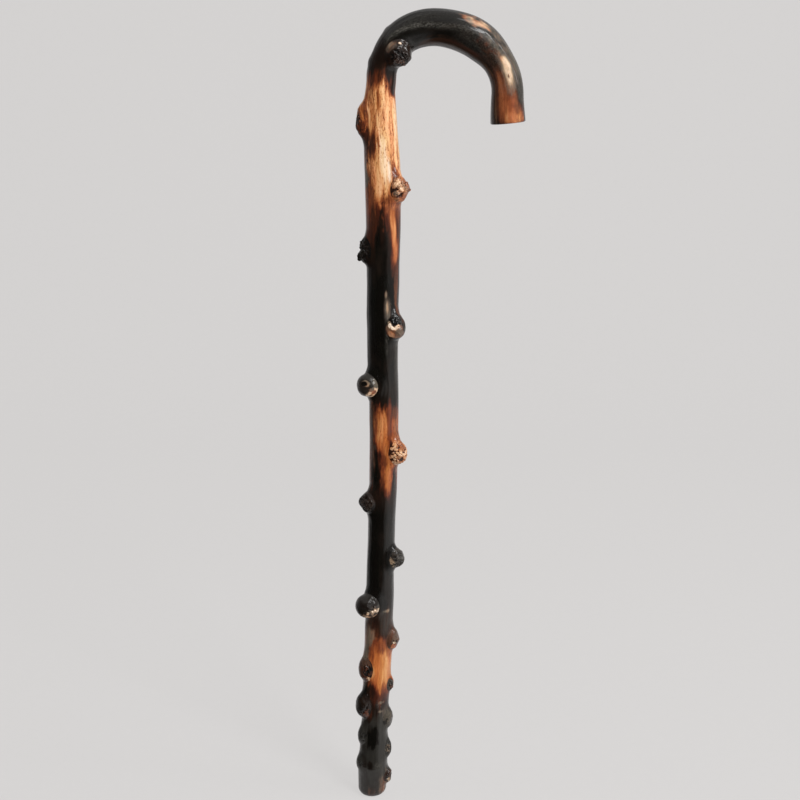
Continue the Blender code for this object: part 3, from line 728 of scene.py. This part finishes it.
def worn_and_sheen(station, angle):
    """Where hands and hooks have dulled the soot and left grey specks, partly scuffs and partly a painted
    sheen
    and painted glints: along the crest of the bend and its crown, in a few scuffs, and thinly all over the
    outer side from there to the nose."""
    bend = over(0.828, 0.842, 0.885, 0.930, station)
    # the grey specks along the crest and over the crown stand for a painted sheen
    crest = 0.85 * bend * bell(wrapped(angle - crest_line(station)) / 0.13)
    crown = 0.25 * hump((station - 0.868) / 0.04) * bell((angle - math.radians(122)) / 0.25)
    scuffs_and_glints = 0.0
    for middle, around, half_length, half_width in SCUFFS_AND_GLINTS:
        along = (station / MM - middle) / half_length
        across = aside(angle, around) / math.radians(half_width)
        scuffs_and_glints = scuffs_and_glints + 0.7 * hump(np.hypot(along, across))
    nose = over(0.895, 0.922, 0.985, 1.0, station)
    worn = 0.4 * nose * bell((angle - WORN_ANGLE) / WORN_WIDTH)
    return np.clip(crest + crown + scuffs_and_glints + worn, 0, 1)


def add_to_scene(name, data):
    thing = bpy.data.objects.new(name, data)
    bpy.context.scene.collection.objects.link(thing)
    return thing


def new_piece(name, points, faces):
    mesh = bpy.data.meshes.new(name)
    mesh.from_pydata(points.tolist(), [], faces)
    mesh.shade_smooth()
    return add_to_scene(name, mesh)


def keep_field(piece, field, values):
    """Values at a piece's points, one or three for each, kept on its mesh for its material."""
    kind, slot = ("FLOAT_VECTOR", "vector") if values.shape[-1] == 3 else ("FLOAT", "value")
    attribute = piece.data.attributes.new(field, kind, "POINT")
    attribute.data.foreach_set(slot, values.astype(np.float32).ravel())


def with_middles(rows):
    """Rows of values as one list, and after them the mean of the first row and that of the last."""
    count, sides = rows.shape[:2]
    values = rows.reshape(count * sides, -1)
    return np.concatenate([values, [values[:sides].mean(axis=0)], [values[-sides:].mean(axis=0)]])


def closed_skin(name, rows, fields):
    """A closed mesh over rows of points, each row a ring, with fans from the middles of the first and the
    last ring. Its faces are turned to point outwards, by the sign of the volume that they enclose. Fields
    are values at the same points."""
    count, sides = rows.shape[:2]
    points = with_middles(rows)
    here = np.arange(count * sides).reshape(count, sides)
    beside = np.roll(here, -1, axis=1)
    quads = np.stack([here[:-1], beside[:-1], beside[1:], here[1:]], axis=-1).reshape(-1, 4)
    start = points_of(count * sides, beside[0], here[0])
    end = points_of(count * sides + 1, here[-1], beside[-1])
    fans = np.concatenate([start, end])
    corner = points[np.concatenate([quads[:, :3], quads[:, [0, 2, 3]], fans])]
    volume = np.einsum("ij,ij->", corner[:, 0], np.cross(corner[:, 1], corner[:, 2]))
    turned = 1 if volume > 0 else -1
    piece = new_piece(name, points, [face[::turned] for face in fans.tolist() + quads.tolist()])
    for field, values in fields.items():
        keep_field(piece, field, with_middles(values))
    return piece


def stem_rows(branch):
    """Each row's distance along the branch, and its share of the radius: rows across the tip's flat, close
    rows round its edge, even rows to the nose, and rows across the nose's saw cut."""
    tip_edge = TIP_ROUNDING * (1 - np.cos(np.linspace(0, np.pi / 2, 12)))
    nose_edge = branch.length - NOSE_ROUNDING * (1 - np.sin(np.linspace(0, np.pi / 2, 6)))
    count = round((nose_edge[0] - tip_edge[-1]) / STEM_STEP)
    middle = np.linspace(tip_edge[-1], nose_edge[0], count + 1)[1:-1]
    across = np.array([0.1, 0.3, 0.5, 0.7, 0.85])
    station = np.concatenate([0 * across, tip_edge, middle, nose_edge, 0 * across + branch.length])
    share = np.concatenate([across, np.ones(len(station) - 2 * len(across)), across[::-1]])
    return station[:, None], share[:, None]


def turns(sides):
    return (np.arange(sides) * 2 * np.pi / sides)[None]


def make_stem(branch):
    """The stem as a surface of the distance along the branch and the angle round it: its point lies on the
    centre line plus the radius times the way outwards."""
    station, share = stem_rows(branch)
    angle = turns(STEM_SIDES)
    radius = share * end_rounding(branch, station, stem_radius(branch, station, angle))
    points = branch.place(station, angle, radius)[0]
    char, tone, figure = burn(station, angle)
    fields = {
        "straight": straightened(station, angle, radius),
        "char": char,
        "tone": tone,
        "figure": figure,
        "rub": worn_and_sheen(station, angle),
        "cut": np.broadcast_to(share < 1, radius.shape).astype(float),
    }
    return closed_skin("stem_wood", squared_off(branch, station[:, 0], points), fields)


def facing(knot, right, high):
    """A direction as seen from the front, turned into its parts round the stem, along it and outwards."""
    front = math.sqrt(1 - right**2 - high**2)
    turn = math.radians(knot.angle)
    side = front * math.cos(turn) - right * math.sin(turn)
    out = front * math.sin(turn) + right * math.cos(turn)
    return np.array([side, high, out])


def away_from(dome, knot, right, high):
    """How far the points of a dome are from a direction as seen from the front."""
    return np.linalg.norm(dome - facing(knot, right, high), axis=-1)


def trimmed_dome(knot, foot, share, turn):
    """The dome in shares of the knot's size, as its parts round the stem, along it and outwards. It is a
    superellipse from its top down, swollen or hollowed at its lobes, shaved back to its cuts, then drawn out
    at its spurs. Over its foot it leaves the superellipse and runs out as a power of the rest of the way."""
    waist = 1 - 0.4 * foot
    top = np.sqrt(1 - np.minimum(share, waist) ** DOME_FULLNESS)
    slope = 0.5 * DOME_FULLNESS * waist ** (DOME_FULLNESS - 1) / top[-1, 0]
    power = slope * (1 + foot - waist) / top[-1, 0]
    run_out = np.clip((share - waist) / (1 + foot - waist), 0, 1)
    dome = points_of(share * np.sin(turn), share * np.cos(turn), top * (1 - run_out) ** power)
    free = 1 - np.minimum(share, 1) ** RIM_HOLD
    for right, high, size, height in LOBES.get(knot.name, ()):
        swelling = height * hump(away_from(dome, knot, right, high) / size)
        dome = dome * (1 + free * swelling)[..., None]
    for right, high, level in CUTS.get(knot.name, ()):
        way = facing(knot, right, high)
        over = free * np.maximum(dome @ way - level, 0)
        dome = dome - over[..., None] * way
    ball = unit(dome)
    for right, high, size, height in SPURS.get(knot.name, ()):
        swelling = height * hump(away_from(ball, knot, right, high) / size)
        dome = dome * (1 + free * swelling)[..., None]
    return dome


def nub_field(dome, count, seed):
    """Domes packed over a knot like the grains of a berry: at each point the height of the nearest grain, the
    square root of one minus its distance squared. The grains lie on a sunflower spiral over the half ball,
    shaken a little."""
    random = np.random.default_rng(seed)
    order = (np.arange(count) + 0.5) / count
    around = np.arange(count) * SUNFLOWER_TURN + random.normal(0, 0.2, count)
    low = np.sqrt(1 - (1 - order) ** 2)
    grain = points_of(low * np.sin(around), low * np.cos(around), 1 - order)
    grain += random.normal(0, 0.55 / np.sqrt(count), (count, 3))
    size = 1.5 / np.sqrt(count) * random.uniform(0.65, 1.5, count)
    ball = unit(dome)
    field = np.zeros(dome.shape[:-1])
    for middle, reach in zip(grain, size):
        field = np.maximum(field, 1 - np.sum((ball - middle) ** 2, axis=-1) / reach**2)
    return np.sqrt(field)


def make_knot(branch, knot):
    """A knot as a surface of the share of the way from the middle of its dome to its foot, and the turn round
    it: the trimmed dome stood on the collar, pushed out along its own normal by the nubs and the crumble
    where it is rough. From its foot it runs on down as a cone into the stem."""
    face = FACES.get(knot.name, PLAIN_FACE)
    share = (1 + face.foot) * np.sin(np.linspace(0.015, 1, KNOT_ROWS) * np.pi / 2)[:, None]
    dome = trimmed_dome(knot, face.foot, share, turns(KNOT_SIDES))
    level = float(bare_radius(knot.station)) + knot.collar
    height = knot.reach - level
    side, up, out = np.moveaxis(dome, -1, 0)
    station = knot.station + knot.length * up - math.tan(math.radians(knot.lean)) * height * out
    angle = math.radians(knot.angle) + knot.radius * side / level
    radius = solid_radius(branch, station, angle) + height * out
    place, outward = branch.place(station, angle, radius)
    sideways = np.roll(place, -1, axis=1) - np.roll(place, 1, axis=1)
    normal = unit(np.cross(sideways, np.gradient(place, axis=0)))
    normal *= np.sign(np.sum(normal * outward, axis=-1).mean())

    seed = sum(map(ord, knot.name))
    nubs = nub_field(dome, face.nubs, seed)
    crumble = rough(place / CRUMB)
    shaken = 0.25 * rough(dome * 3.1 + seed)
    broken = np.zeros(side.shape)
    for right, high, size in face.rough:
        away = away_from(dome, knot, right, high) + shaken
        broken = np.maximum(broken, 1 - between(0.85 * size, 1.05 * size, away))
    hold = 1 - between(0.85, 1 + 0.6 * face.foot, share)
    rise = broken * (face.nub_height * (nubs - 0.7) + face.crumble * crumble) + shaken + 0.10 * crumble
    place = place + normal * (hold * rise * MM)[..., None]

    char, tone, figure = burn(station, angle)
    for right, high, size, spot_char, spot_tone in SPOTS.get(knot.name, ()):
        away = away_from(dome, knot, right, high) / size
        cover = 1 - between(0.75, 1.05, away + shaken + (0.1 + 0.5 * broken) * crumble)
        char, tone = laid_over(char, tone, cover, spot_char, spot_tone)
    # soot and ash lie in the hollows between the nubs, but no red-brown in grey flesh
    hollow = broken * between(0.20, 0.75, 0.75 - nubs - 0.6 * face.crumble * crumble)
    char = char + hollow * (0.70 - 0.70 * char)
    tone = tone * (1 - 0.8 * hollow * (1 - between(1.4, 1.8, tone)))
    char = np.clip(char + 0.16 * crumble * (1 - char), 0, 1)

    place[-1] -= FOOT_SINKS * outward[-1]
    root = place[-1].mean(axis=0) - ROOT_DEPTH * outward[0, 0]
    cone = root + (place[-1] - root) * ROOT_SHARES[:, None, None]
    fields = {
        "straight": straightened(station, angle, bare_radius(station)) + 0.3 * height * dome,
        "char": char,
        "tone": np.clip(tone, 0, 2),
        "figure": figure,
        "rub": 0 * char,
        "crust": hollow * between(0.60, 1.0, char),
    }
    for name, values in fields.items():
        fields[name] = np.concatenate([values, values[-1:], values[-1:]])
    return closed_skin(knot.name + "_wood", np.concatenate([place, cone]), fields)


class Nodes:
    """Adds nodes to one node tree. A socket is fed with another node's output, or with a value."""

    def __init__(self, tree):
        self.tree = tree

    def feed(self, node, sockets):
        for name, value in sockets.items():
            if isinstance(value, bpy.types.NodeSocket):
                self.tree.links.new(value, node.inputs[name])
            else:
                node.inputs[name].default_value = value

    def add(self, kind, sockets=None, **settings):
        node = self.tree.nodes.new(kind)
        for name, value in settings.items():
            setattr(node, name, value)
        self.feed(node, sockets or {})
        return node

    def math(self, operation, *values, clamp=False):
        sockets = dict(enumerate(values))
        return self.add("ShaderNodeMath", sockets, operation=operation, use_clamp=clamp).outputs[0]

    def plus(self, total, *terms):
        """The total with each term added to it, a term being a value and its weight."""
        for value, weight in terms:
            total = self.math("ADD", total, self.math("MULTIPLY", value, weight))
        return total

    def spread(self, value, low, high, to_low=0.0, to_high=1.0):
        """The value's stretch from low to high, eased, brought to the stretch from to_low to to_high."""
        sockets = {"Value": value, "From Min": low, "From Max": high, "To Min": to_low, "To Max": to_high}
        return self.add("ShaderNodeMapRange", sockets, interpolation_type="SMOOTHSTEP").outputs["Result"]

    def noise(self, place, scale, stretch=(1, 1, 1), detail=3.0, roughness=0.55, distortion=0.0):
        sockets = {"Vector": place, "Location": NOISE_OFFSET, "Scale": [scale * s for s in stretch]}
        moved = self.add("ShaderNodeMapping", sockets).outputs[0]
        sockets = {"Vector": moved, "Scale": 1.0, "Detail": detail, "Roughness": roughness}
        return self.add("ShaderNodeTexNoise", {**sockets, "Distortion": distortion}).outputs["Fac"]

    def mix(self, share, first, second, blend="MIX"):
        sockets = {0: share, 6: first, 7: second}
        return self.add("ShaderNodeMix", sockets, data_type="RGBA", blend_type=blend).outputs[2]

    def ramp(self, share, stops, colours):
        node = self.add("ShaderNodeValToRGB", {"Fac": share})
        elements = node.color_ramp.elements
        while len(elements) < len(stops):
            elements.new(0.5)
        for element, stop, colour in zip(elements, stops, colours):
            element.position = stop
            element.color = paint(*colour)
        return node.outputs["Color"]

    def read(self, field, output="Fac"):
        return self.add("ShaderNodeAttribute", attribute_name=field).outputs[output]

    def group(self, tree, sockets):
        return self.add("ShaderNodeGroup", sockets, node_tree=tree).outputs

    def show(self, shader):
        self.add("ShaderNodeOutputMaterial", {"Surface": shader.outputs[0]})


def paint(red, green, blue):
    """A colour given as a screen shows it, from 0 to 255, turned into the light that it stands for."""
    shown = np.array([red, green, blue]) / 255
    light = np.where(shown <= 0.04045, shown / 12.92, ((shown + 0.055) / 1.055) ** 2.4)
    return (*light.tolist(), 1.0)


SOCKET_KINDS = {"Straight Place": "Vector", "Colour": "Color"}


def new_group(name, inputs, outputs):
    """An empty node group with these named sockets, and its inside ready to be filled."""
    tree = bpy.data.node_groups.new(name, "ShaderNodeTree")
    for way, sockets in (("INPUT", inputs), ("OUTPUT", outputs)):
        for socket in sockets:
            kind = "NodeSocket" + SOCKET_KINDS.get(socket, "Float")
            tree.interface.new_socket(socket, in_out=way, socket_type=kind)
    nodes = Nodes(tree)
    return tree, nodes, nodes.add("NodeGroupInput").outputs, nodes.add("NodeGroupOutput")


# The parts of the grain: the waves per metre across it, the share of them along it, the noise's detail,
# roughness and distortion, and the two of its values that count as nothing and as full.
GRAINS = {
    "Streaks": (270, 0.05, 3, 0.60, 0.4, 0.32, 0.68),
    "Fibres": (620, 0.06, 4, 0.70, 0.2, 0.30, 0.70),
    "Mottles": (300, 0.20, 4, 0.65, 0.3, 0.32, 0.68),
    "Specks": (760, 0.40, 3, 0.65, 0.0, 0.50, 0.68),
    "Drift": (190, 0.10, 3, 0.60, 0.3, 0.32, 0.68),
    "Cast": (130, 0.14, 4, 0.60, 0.2, 0.30, 0.70),
}


def grain_group():
    """The grain of peeled wood, read where the branch would be straight: streaks, fine fibres, mottles, dark
    specks strewn more thickly in some places, and slow drifts of the wood's own tone and cast."""
    tree, nodes, given, out = new_group("grain of peeled wood", ("Straight Place", "Fineness"), GRAINS)
    sockets = {0: given["Straight Place"], "Scale": given["Fineness"]}
    place = nodes.add("ShaderNodeVectorMath", sockets, operation="SCALE").outputs[0]
    parts = {}
    for name, (scale, along, detail, roughness, distortion, low, high) in GRAINS.items():
        wave = nodes.noise(place, scale, (1, 1, along), detail, roughness, distortion)
        parts[name] = nodes.spread(wave, low, high)
    thick = nodes.spread(nodes.noise(place, 110, (1, 1, 0.30), 2.0, 0.5), 0.25, 0.60)
    parts["Specks"] = nodes.math("MULTIPLY", parts["Specks"], thick)
    nodes.feed(out, parts)
    return tree


# Paint for wood that is more and more burnt: how burnt, and the colour of orange wood, cream wood and flesh.
SCORCH_PAINTS = (
    (0.00, (222, 150, 84), (246, 204, 156), (248, 229, 208)),
    (0.20, (200, 122, 62), (226, 168, 116), (228, 200, 170)),
    (0.40, (164, 90, 45), (192, 124, 78), (180, 153, 124)),
    (0.58, (118, 58, 32), (140, 82, 50), (126, 110, 92)),
    (0.74, (74, 36, 23), (88, 49, 31), (91, 83, 72)),
    (0.88, (36, 23, 17), (44, 29, 21), (61, 57, 51)),
    (1.00, (15, 14, 11), (17, 15, 12), (40, 39, 36)),
)


def scorch_group():
    """Scorched wood's colour: the char deepened in the grain where it is half burnt, then read off three rows
    of paint by its tone: from orange wood to soot, from cream wood to soot, and from bare flesh to ash. It
    drifts slowly between a redder and a yellower cast."""
    inputs = ("Char", "Tone", "Figure", *GRAINS)
    tree, nodes, given, out = new_group("scorched wood colour", inputs, ("Colour", "Char"))
    char = given["Char"]
    # the grain shows most where the wood is half burnt
    unburnt = nodes.math("POWER", nodes.math("SUBTRACT", 1.0, char), 1.3)
    half_burnt = nodes.math("MULTIPLY", unburnt, nodes.math("ADD", char, 0.47))
    half_burnt = nodes.math("MULTIPLY", half_burnt, given["Figure"])
    depth = nodes.math("MULTIPLY", given["Specks"], nodes.spread(given["Tone"], 0.0, 0.8, 0.42, 0.72))
    crisp = nodes.spread(given["Tone"], 0.0, 1.0, 0.34, 0.70)
    for part, strength in (("Streaks", 0.60), ("Fibres", crisp), ("Mottles", 0.34)):
        depth = nodes.plus(depth, (nodes.math("SUBTRACT", given[part], 0.5), strength))
    burnt = nodes.math("ADD", char, nodes.math("MULTIPLY", depth, half_burnt), clamp=True)
    tone = nodes.plus(given["Tone"], (nodes.math("SUBTRACT", given["Drift"], 0.5), 0.50))
    wood = nodes.math("ADD", tone, 0.0, clamp=True)
    bare = nodes.math("SUBTRACT", tone, 1.0, clamp=True)
    stops, *paints = zip(*SCORCH_PAINTS)
    orange, cream, flesh = (nodes.ramp(burnt, stops, colours) for colours in paints)
    cast = nodes.mix(given["Cast"], (1.0, 0.86, 0.86, 1.0), (0.97, 1.0, 0.91, 1.0))
    colour = nodes.mix(1.0, nodes.mix(wood, orange, cream), cast, blend="MULTIPLY")
    nodes.feed(out, {"Colour": nodes.mix(bare, colour, flesh), "Char": burnt})
    return tree


def soot_group():
    """Soot under old lacquer: faint brown clouds in the olive black, and grey specks where it is worn, partly
    scuffs and partly a painted sheen and painted glints.
    """
    inputs = ("Straight Place", "Colour", "Char", "Rub")
    tree, nodes, given, out = new_group("soot and scuffs", inputs, ("Colour", "Scuffs"))
    place = given["Straight Place"]
    clouds = nodes.spread(nodes.noise(place, 60, (1, 1, 0.5)), 0.52, 0.72)
    brown = nodes.math("MULTIPLY", clouds, nodes.spread(given["Char"], 0.85, 1.0))
    colour = nodes.mix(brown, given["Colour"], paint(30, 23, 18))
    # grey specks: partly scuffs, partly painted sheen and glints on the lacquer
    specks = nodes.spread(nodes.noise(place, 1300, (1, 1, 0.4), 4.0, 0.8), 0.40, 0.72)
    scuffs_and_sheen = nodes.math("MULTIPLY", given["Rub"], specks, clamp=True)
    nodes.feed(out, {"Colour": nodes.mix(scuffs_and_sheen, colour, paint(122, 119, 112)), "Scuffs": scuffs_and_sheen})
    return tree


def saw_cut_group():
    """End grain on a saw cut: growth rings that wander a little round the pith, and the saw's fine lines."""
    tree, nodes, given, out = new_group("saw cut", ("Straight Place",), ("Rings", "Saw Lines"))
    sockets = {0: given["Straight Place"], 1: (1, 1, 0)}
    flat = nodes.add("ShaderNodeVectorMath", sockets, operation="MULTIPLY").outputs[0]
    away = nodes.add("ShaderNodeVectorMath", {0: flat}, operation="LENGTH").outputs["Value"]
    wander = nodes.noise(flat, 180, detail=2.0)
    count = nodes.plus(nodes.math("MULTIPLY", away, 5200), (wander, 9.0))
    rings = nodes.math("MULTIPLY_ADD", nodes.math("SINE", count), 0.5, 0.5)
    nodes.feed(out, {"Rings": rings, "Saw Lines": nodes.noise(flat, 1300, (1, 0.06, 1), 2.0)})
    return tree


def new_material(name):
    material = bpy.data.materials.new(name)
    material.use_nodes = True
    material.node_tree.nodes.clear()
    nodes = Nodes(material.node_tree)
    shader = nodes.add("ShaderNodeBsdfPrincipled")
    return material, nodes, shader


def scorched_wood(groups, name, fineness, relief, crusted):
    """Lacquered scorched wood. A knot's is crusted: its hollows hold soot, and it is rougher."""
    material, nodes, shader = new_material(name)
    straight = nodes.read("straight", "Vector")
    rub = nodes.read("rub")
    grain = nodes.group(groups["grain"], {"Straight Place": straight, "Fineness": fineness})
    sockets = {"Char": nodes.read("char"), "Tone": nodes.read("tone"), "Figure": nodes.read("figure")}
    wood = nodes.group(groups["scorch"], {**sockets, **{part: grain[part] for part in GRAINS}})
    sockets = {"Straight Place": straight, "Colour": wood["Colour"], "Char": wood["Char"], "Rub": rub}
    soot = nodes.group(groups["soot"], sockets)
    colour = soot["Colour"]
    height = nodes.math("MULTIPLY", grain["Streaks"], 0.55)
    height = nodes.plus(height, (grain["Fibres"], 0.30), (grain["Specks"], -0.25))
    if crusted:
        dull = nodes.read("crust")
        grit = nodes.noise(straight, 1900, roughness=0.65)
        sooty = nodes.math("MULTIPLY", dull, nodes.spread(grit, 0.3, 0.7))
        colour = nodes.mix(sooty, colour, paint(14, 11, 9))
        height = nodes.plus(height, (grit, 0.9))
    else:
        dull = nodes.read("cut")
        cut = nodes.group(groups["saw cut"], {"Straight Place": straight})
        sawn = nodes.mix(cut["Rings"], paint(64, 40, 24), paint(104, 68, 38))
        sawn = nodes.mix(nodes.spread(cut["Saw Lines"], 0.40, 0.65, 0.0, 0.5), sawn, paint(34, 22, 16))
        colour = nodes.mix(dull, colour, sawn)
        height = nodes.plus(height, (dull, cut["Saw Lines"]))
    roughness = nodes.spread(wood["Char"], 0.2, 1.0, 0.42, 0.30)
    bump = nodes.add("ShaderNodeBump", {"Strength": 1.0, "Distance": relief, "Height": height})
    finish = {
        "Base Color": colour,
        "Roughness": nodes.plus(roughness, (dull, 0.25), (soot["Scuffs"], 0.25)),
        "Normal": bump.outputs["Normal"],
        "Specular IOR Level": 0.08,
        "Coat Weight": nodes.spread(rub, 0.0, 0.5, 1.0, 0.3),
        "Coat IOR": 1.42,
        "Coat Roughness": 0.08,
    }
    nodes.feed(shader, finish)
    nodes.show(shader)
    return material


def seen_directly(nodes):
    """1 for the camera and for rays through something clear, 0.3 for reflections, and 0 for light itself."""
    light = nodes.add("ShaderNodeLightPath").outputs
    seen = nodes.math("MAXIMUM", light["Is Camera Ray"], light["Is Transmission Ray"])
    return nodes.math("MAXIMUM", seen, nodes.math("MULTIPLY", light["Is Glossy Ray"], 0.3))


def backdrop_paint():
    """Pale paper. The camera and reflections see it at its own even grey, with the object's shadow kept."""
    material, nodes, shader = new_material("pale backdrop")
    fibre = nodes.noise(nodes.add("ShaderNodeTexCoord").outputs["Object"], 90, detail=2.0)
    paper = nodes.mix(nodes.spread(fibre, 0.3, 0.7, 0.0, 0.04), paint(*BACKDROP_GREY), paint(224, 222, 221))
    nodes.feed(shader, {"Base Color": paper, "Roughness": 0.9, "Specular IOR Level": 0.2})
    glow = nodes.add("ShaderNodeEmission", {"Color": paper, "Strength": 1.06})
    share = nodes.math("MULTIPLY", seen_directly(nodes), 0.86)
    even = nodes.add("ShaderNodeMixShader", {0: share, 1: shader.outputs[0], 2: glow.outputs[0]})
    nodes.show(even)
    return material


def open_sheet(name, points, material):
    """A sheet over a grid of points, part of the stage and not of the object."""
    here = np.arange(points.shape[0] * points.shape[1]).reshape(points.shape[:2])
    faces = np.stack([here[:-1, :-1], here[:-1, 1:], here[1:, 1:], here[1:, :-1]], axis=-1)
    sheet = new_piece(name, points.reshape(-1, 3), faces.reshape(-1, 4).tolist())
    sheet.data.materials.append(material)
    return sheet


def make_backdrop():
    """A sheet of paper: flat on the floor, then a quarter circle, then straight up behind the object."""
    front, back, radius, top, half = -2.6, 1.5, 0.9, 3.4, 3.2
    bend = np.linspace(0, np.pi / 2, 24)
    depth = np.concatenate([[front], back + radius * np.sin(bend), [back + radius]])
    height = np.concatenate([[0], radius * (1 - np.cos(bend)), [top]])
    points = points_of(np.linspace(-half, half, 5), depth[:, None], height[:, None])
    open_sheet("backdrop", points, backdrop_paint())


def make_flag():
    """A dark cloth that only reflections see, so that black lacquer stays black in front: a strip that lies
    on the floor from near the tip outwards and then stands up, swept round the front from the right to the
    left. Its shade fades into the pale room over the first and the last stretch of the sweep."""
    material, nodes, shader = new_material("dark cloth")
    colour = nodes.mix(nodes.read("shade"), paint(26, 26, 26), paint(186, 184, 183))
    nodes.feed(shader, {"Base Color": colour, "Roughness": 1.0, "Specular IOR Level": 0.0})
    nodes.show(shader)
    sweep = np.linspace(-46, 138, 47)[:, None]
    away = np.array([0.10, 0.6, 1.2, 1.75, 1.80, 1.80])
    height = np.array([0.004, 0.004, 0.004, 0.01, 0.06, 2.1])
    points = points_of(-np.sin(np.radians(sweep)) * away, -np.cos(np.radians(sweep)) * away, height)
    flag = open_sheet("flag", points, material)
    fade = np.maximum(1 - between(-46, -8, sweep), between(84, 134, sweep))
    keep_field(flag, "shade", np.repeat(fade, len(away))[:, None])
    flag.visible_camera = False
    flag.visible_diffuse = False
    flag.visible_shadow = False


def make_light(name, place, target, width, height, power):
    light = bpy.data.lights.new(name, "AREA")
    light.shape = "RECTANGLE"
    light.size = width
    light.size_y = height
    light.energy = power
    lamp = add_to_scene(name, light)
    lamp.location = place
    lamp.rotation_euler = (Vector(target) - Vector(place)).to_track_quat("-Z", "Y").to_euler()
    lamp.visible_camera = False


def make_studio():
    """A large soft box at the front right, smaller ones overhead and at the left, a bright strip at the right
    that the nose reflects, and a pale room. The room is pale to the camera and in reflections, and lights the
    object dimly."""
    make_light("front soft box", (1.3, -1.6, 2.0), (0.03, 0, 0.55), 0.8, 0.8, 50)
    make_light("overhead soft box", (1.1, -0.35, 2.75), (0.05, 0, 0.8), 1.0, 1.0, 9)
    make_light("left soft box", (-2.2, -0.4, 0.9), (0.03, 0, 0.45), 0.9, 1.9, 5)
    make_light("bright strip", (2.0, -0.45, 1.45), (0.13, 0, 0.83), 0.35, 0.7, 7)
    world = bpy.data.worlds.new("pale room")
    world.use_nodes = True
    nodes = Nodes(world.node_tree)
    strength = nodes.math("MULTIPLY_ADD", seen_directly(nodes), 0.55, 0.45)
    background = world.node_tree.nodes["Background"]
    nodes.feed(background, {"Color": paint(*BACKDROP_GREY), "Strength": strength})
    bpy.context.scene.world = world
    bpy.context.scene.view_settings.view_transform = "Standard"


def make_camera():
    """Level with the crook, a little above the middle, and tipped down as the photograph was taken."""
    camera = bpy.data.cameras.new("camera")
    camera.lens = 60.465
    camera.sensor_width = 36.0
    camera.clip_start = 0.05
    rig = add_to_scene("camera", camera)
    rig.location = (0.03234, -1.40, 0.81)
    rig.rotation_euler = (math.radians(90 - 13.79), 0, 0)
    bpy.context.scene.camera = rig


def main():
    branch = Branch()
    groups = {
        "grain": grain_group(),
        "scorch": scorch_group(),
        "soot": soot_group(),
        "saw cut": saw_cut_group(),
    }
    stem_finish = scorched_wood(groups, "scorched wood", 1.0, 0.26 * MM, crusted=False)
    charred = scorched_wood(groups, "charred knot", 1.3, 0.40 * MM, crusted=True)
    bare = scorched_wood(groups, "bare knot", 1.5, 0.30 * MM, crusted=True)

    stem = make_stem(branch)
    stem.data.materials.append(stem_finish)
    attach(stem, "root")
    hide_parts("stem")

    for knot in KNOTS:
        piece = make_knot(branch, knot)
        is_bare = knot.name in BARE_KNOTS
        piece.data.materials.append(bare if is_bare else charred)
        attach(piece, "root")
        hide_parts(knot.name)

    make_backdrop()
    make_flag()
    make_studio()
    make_camera()


main()
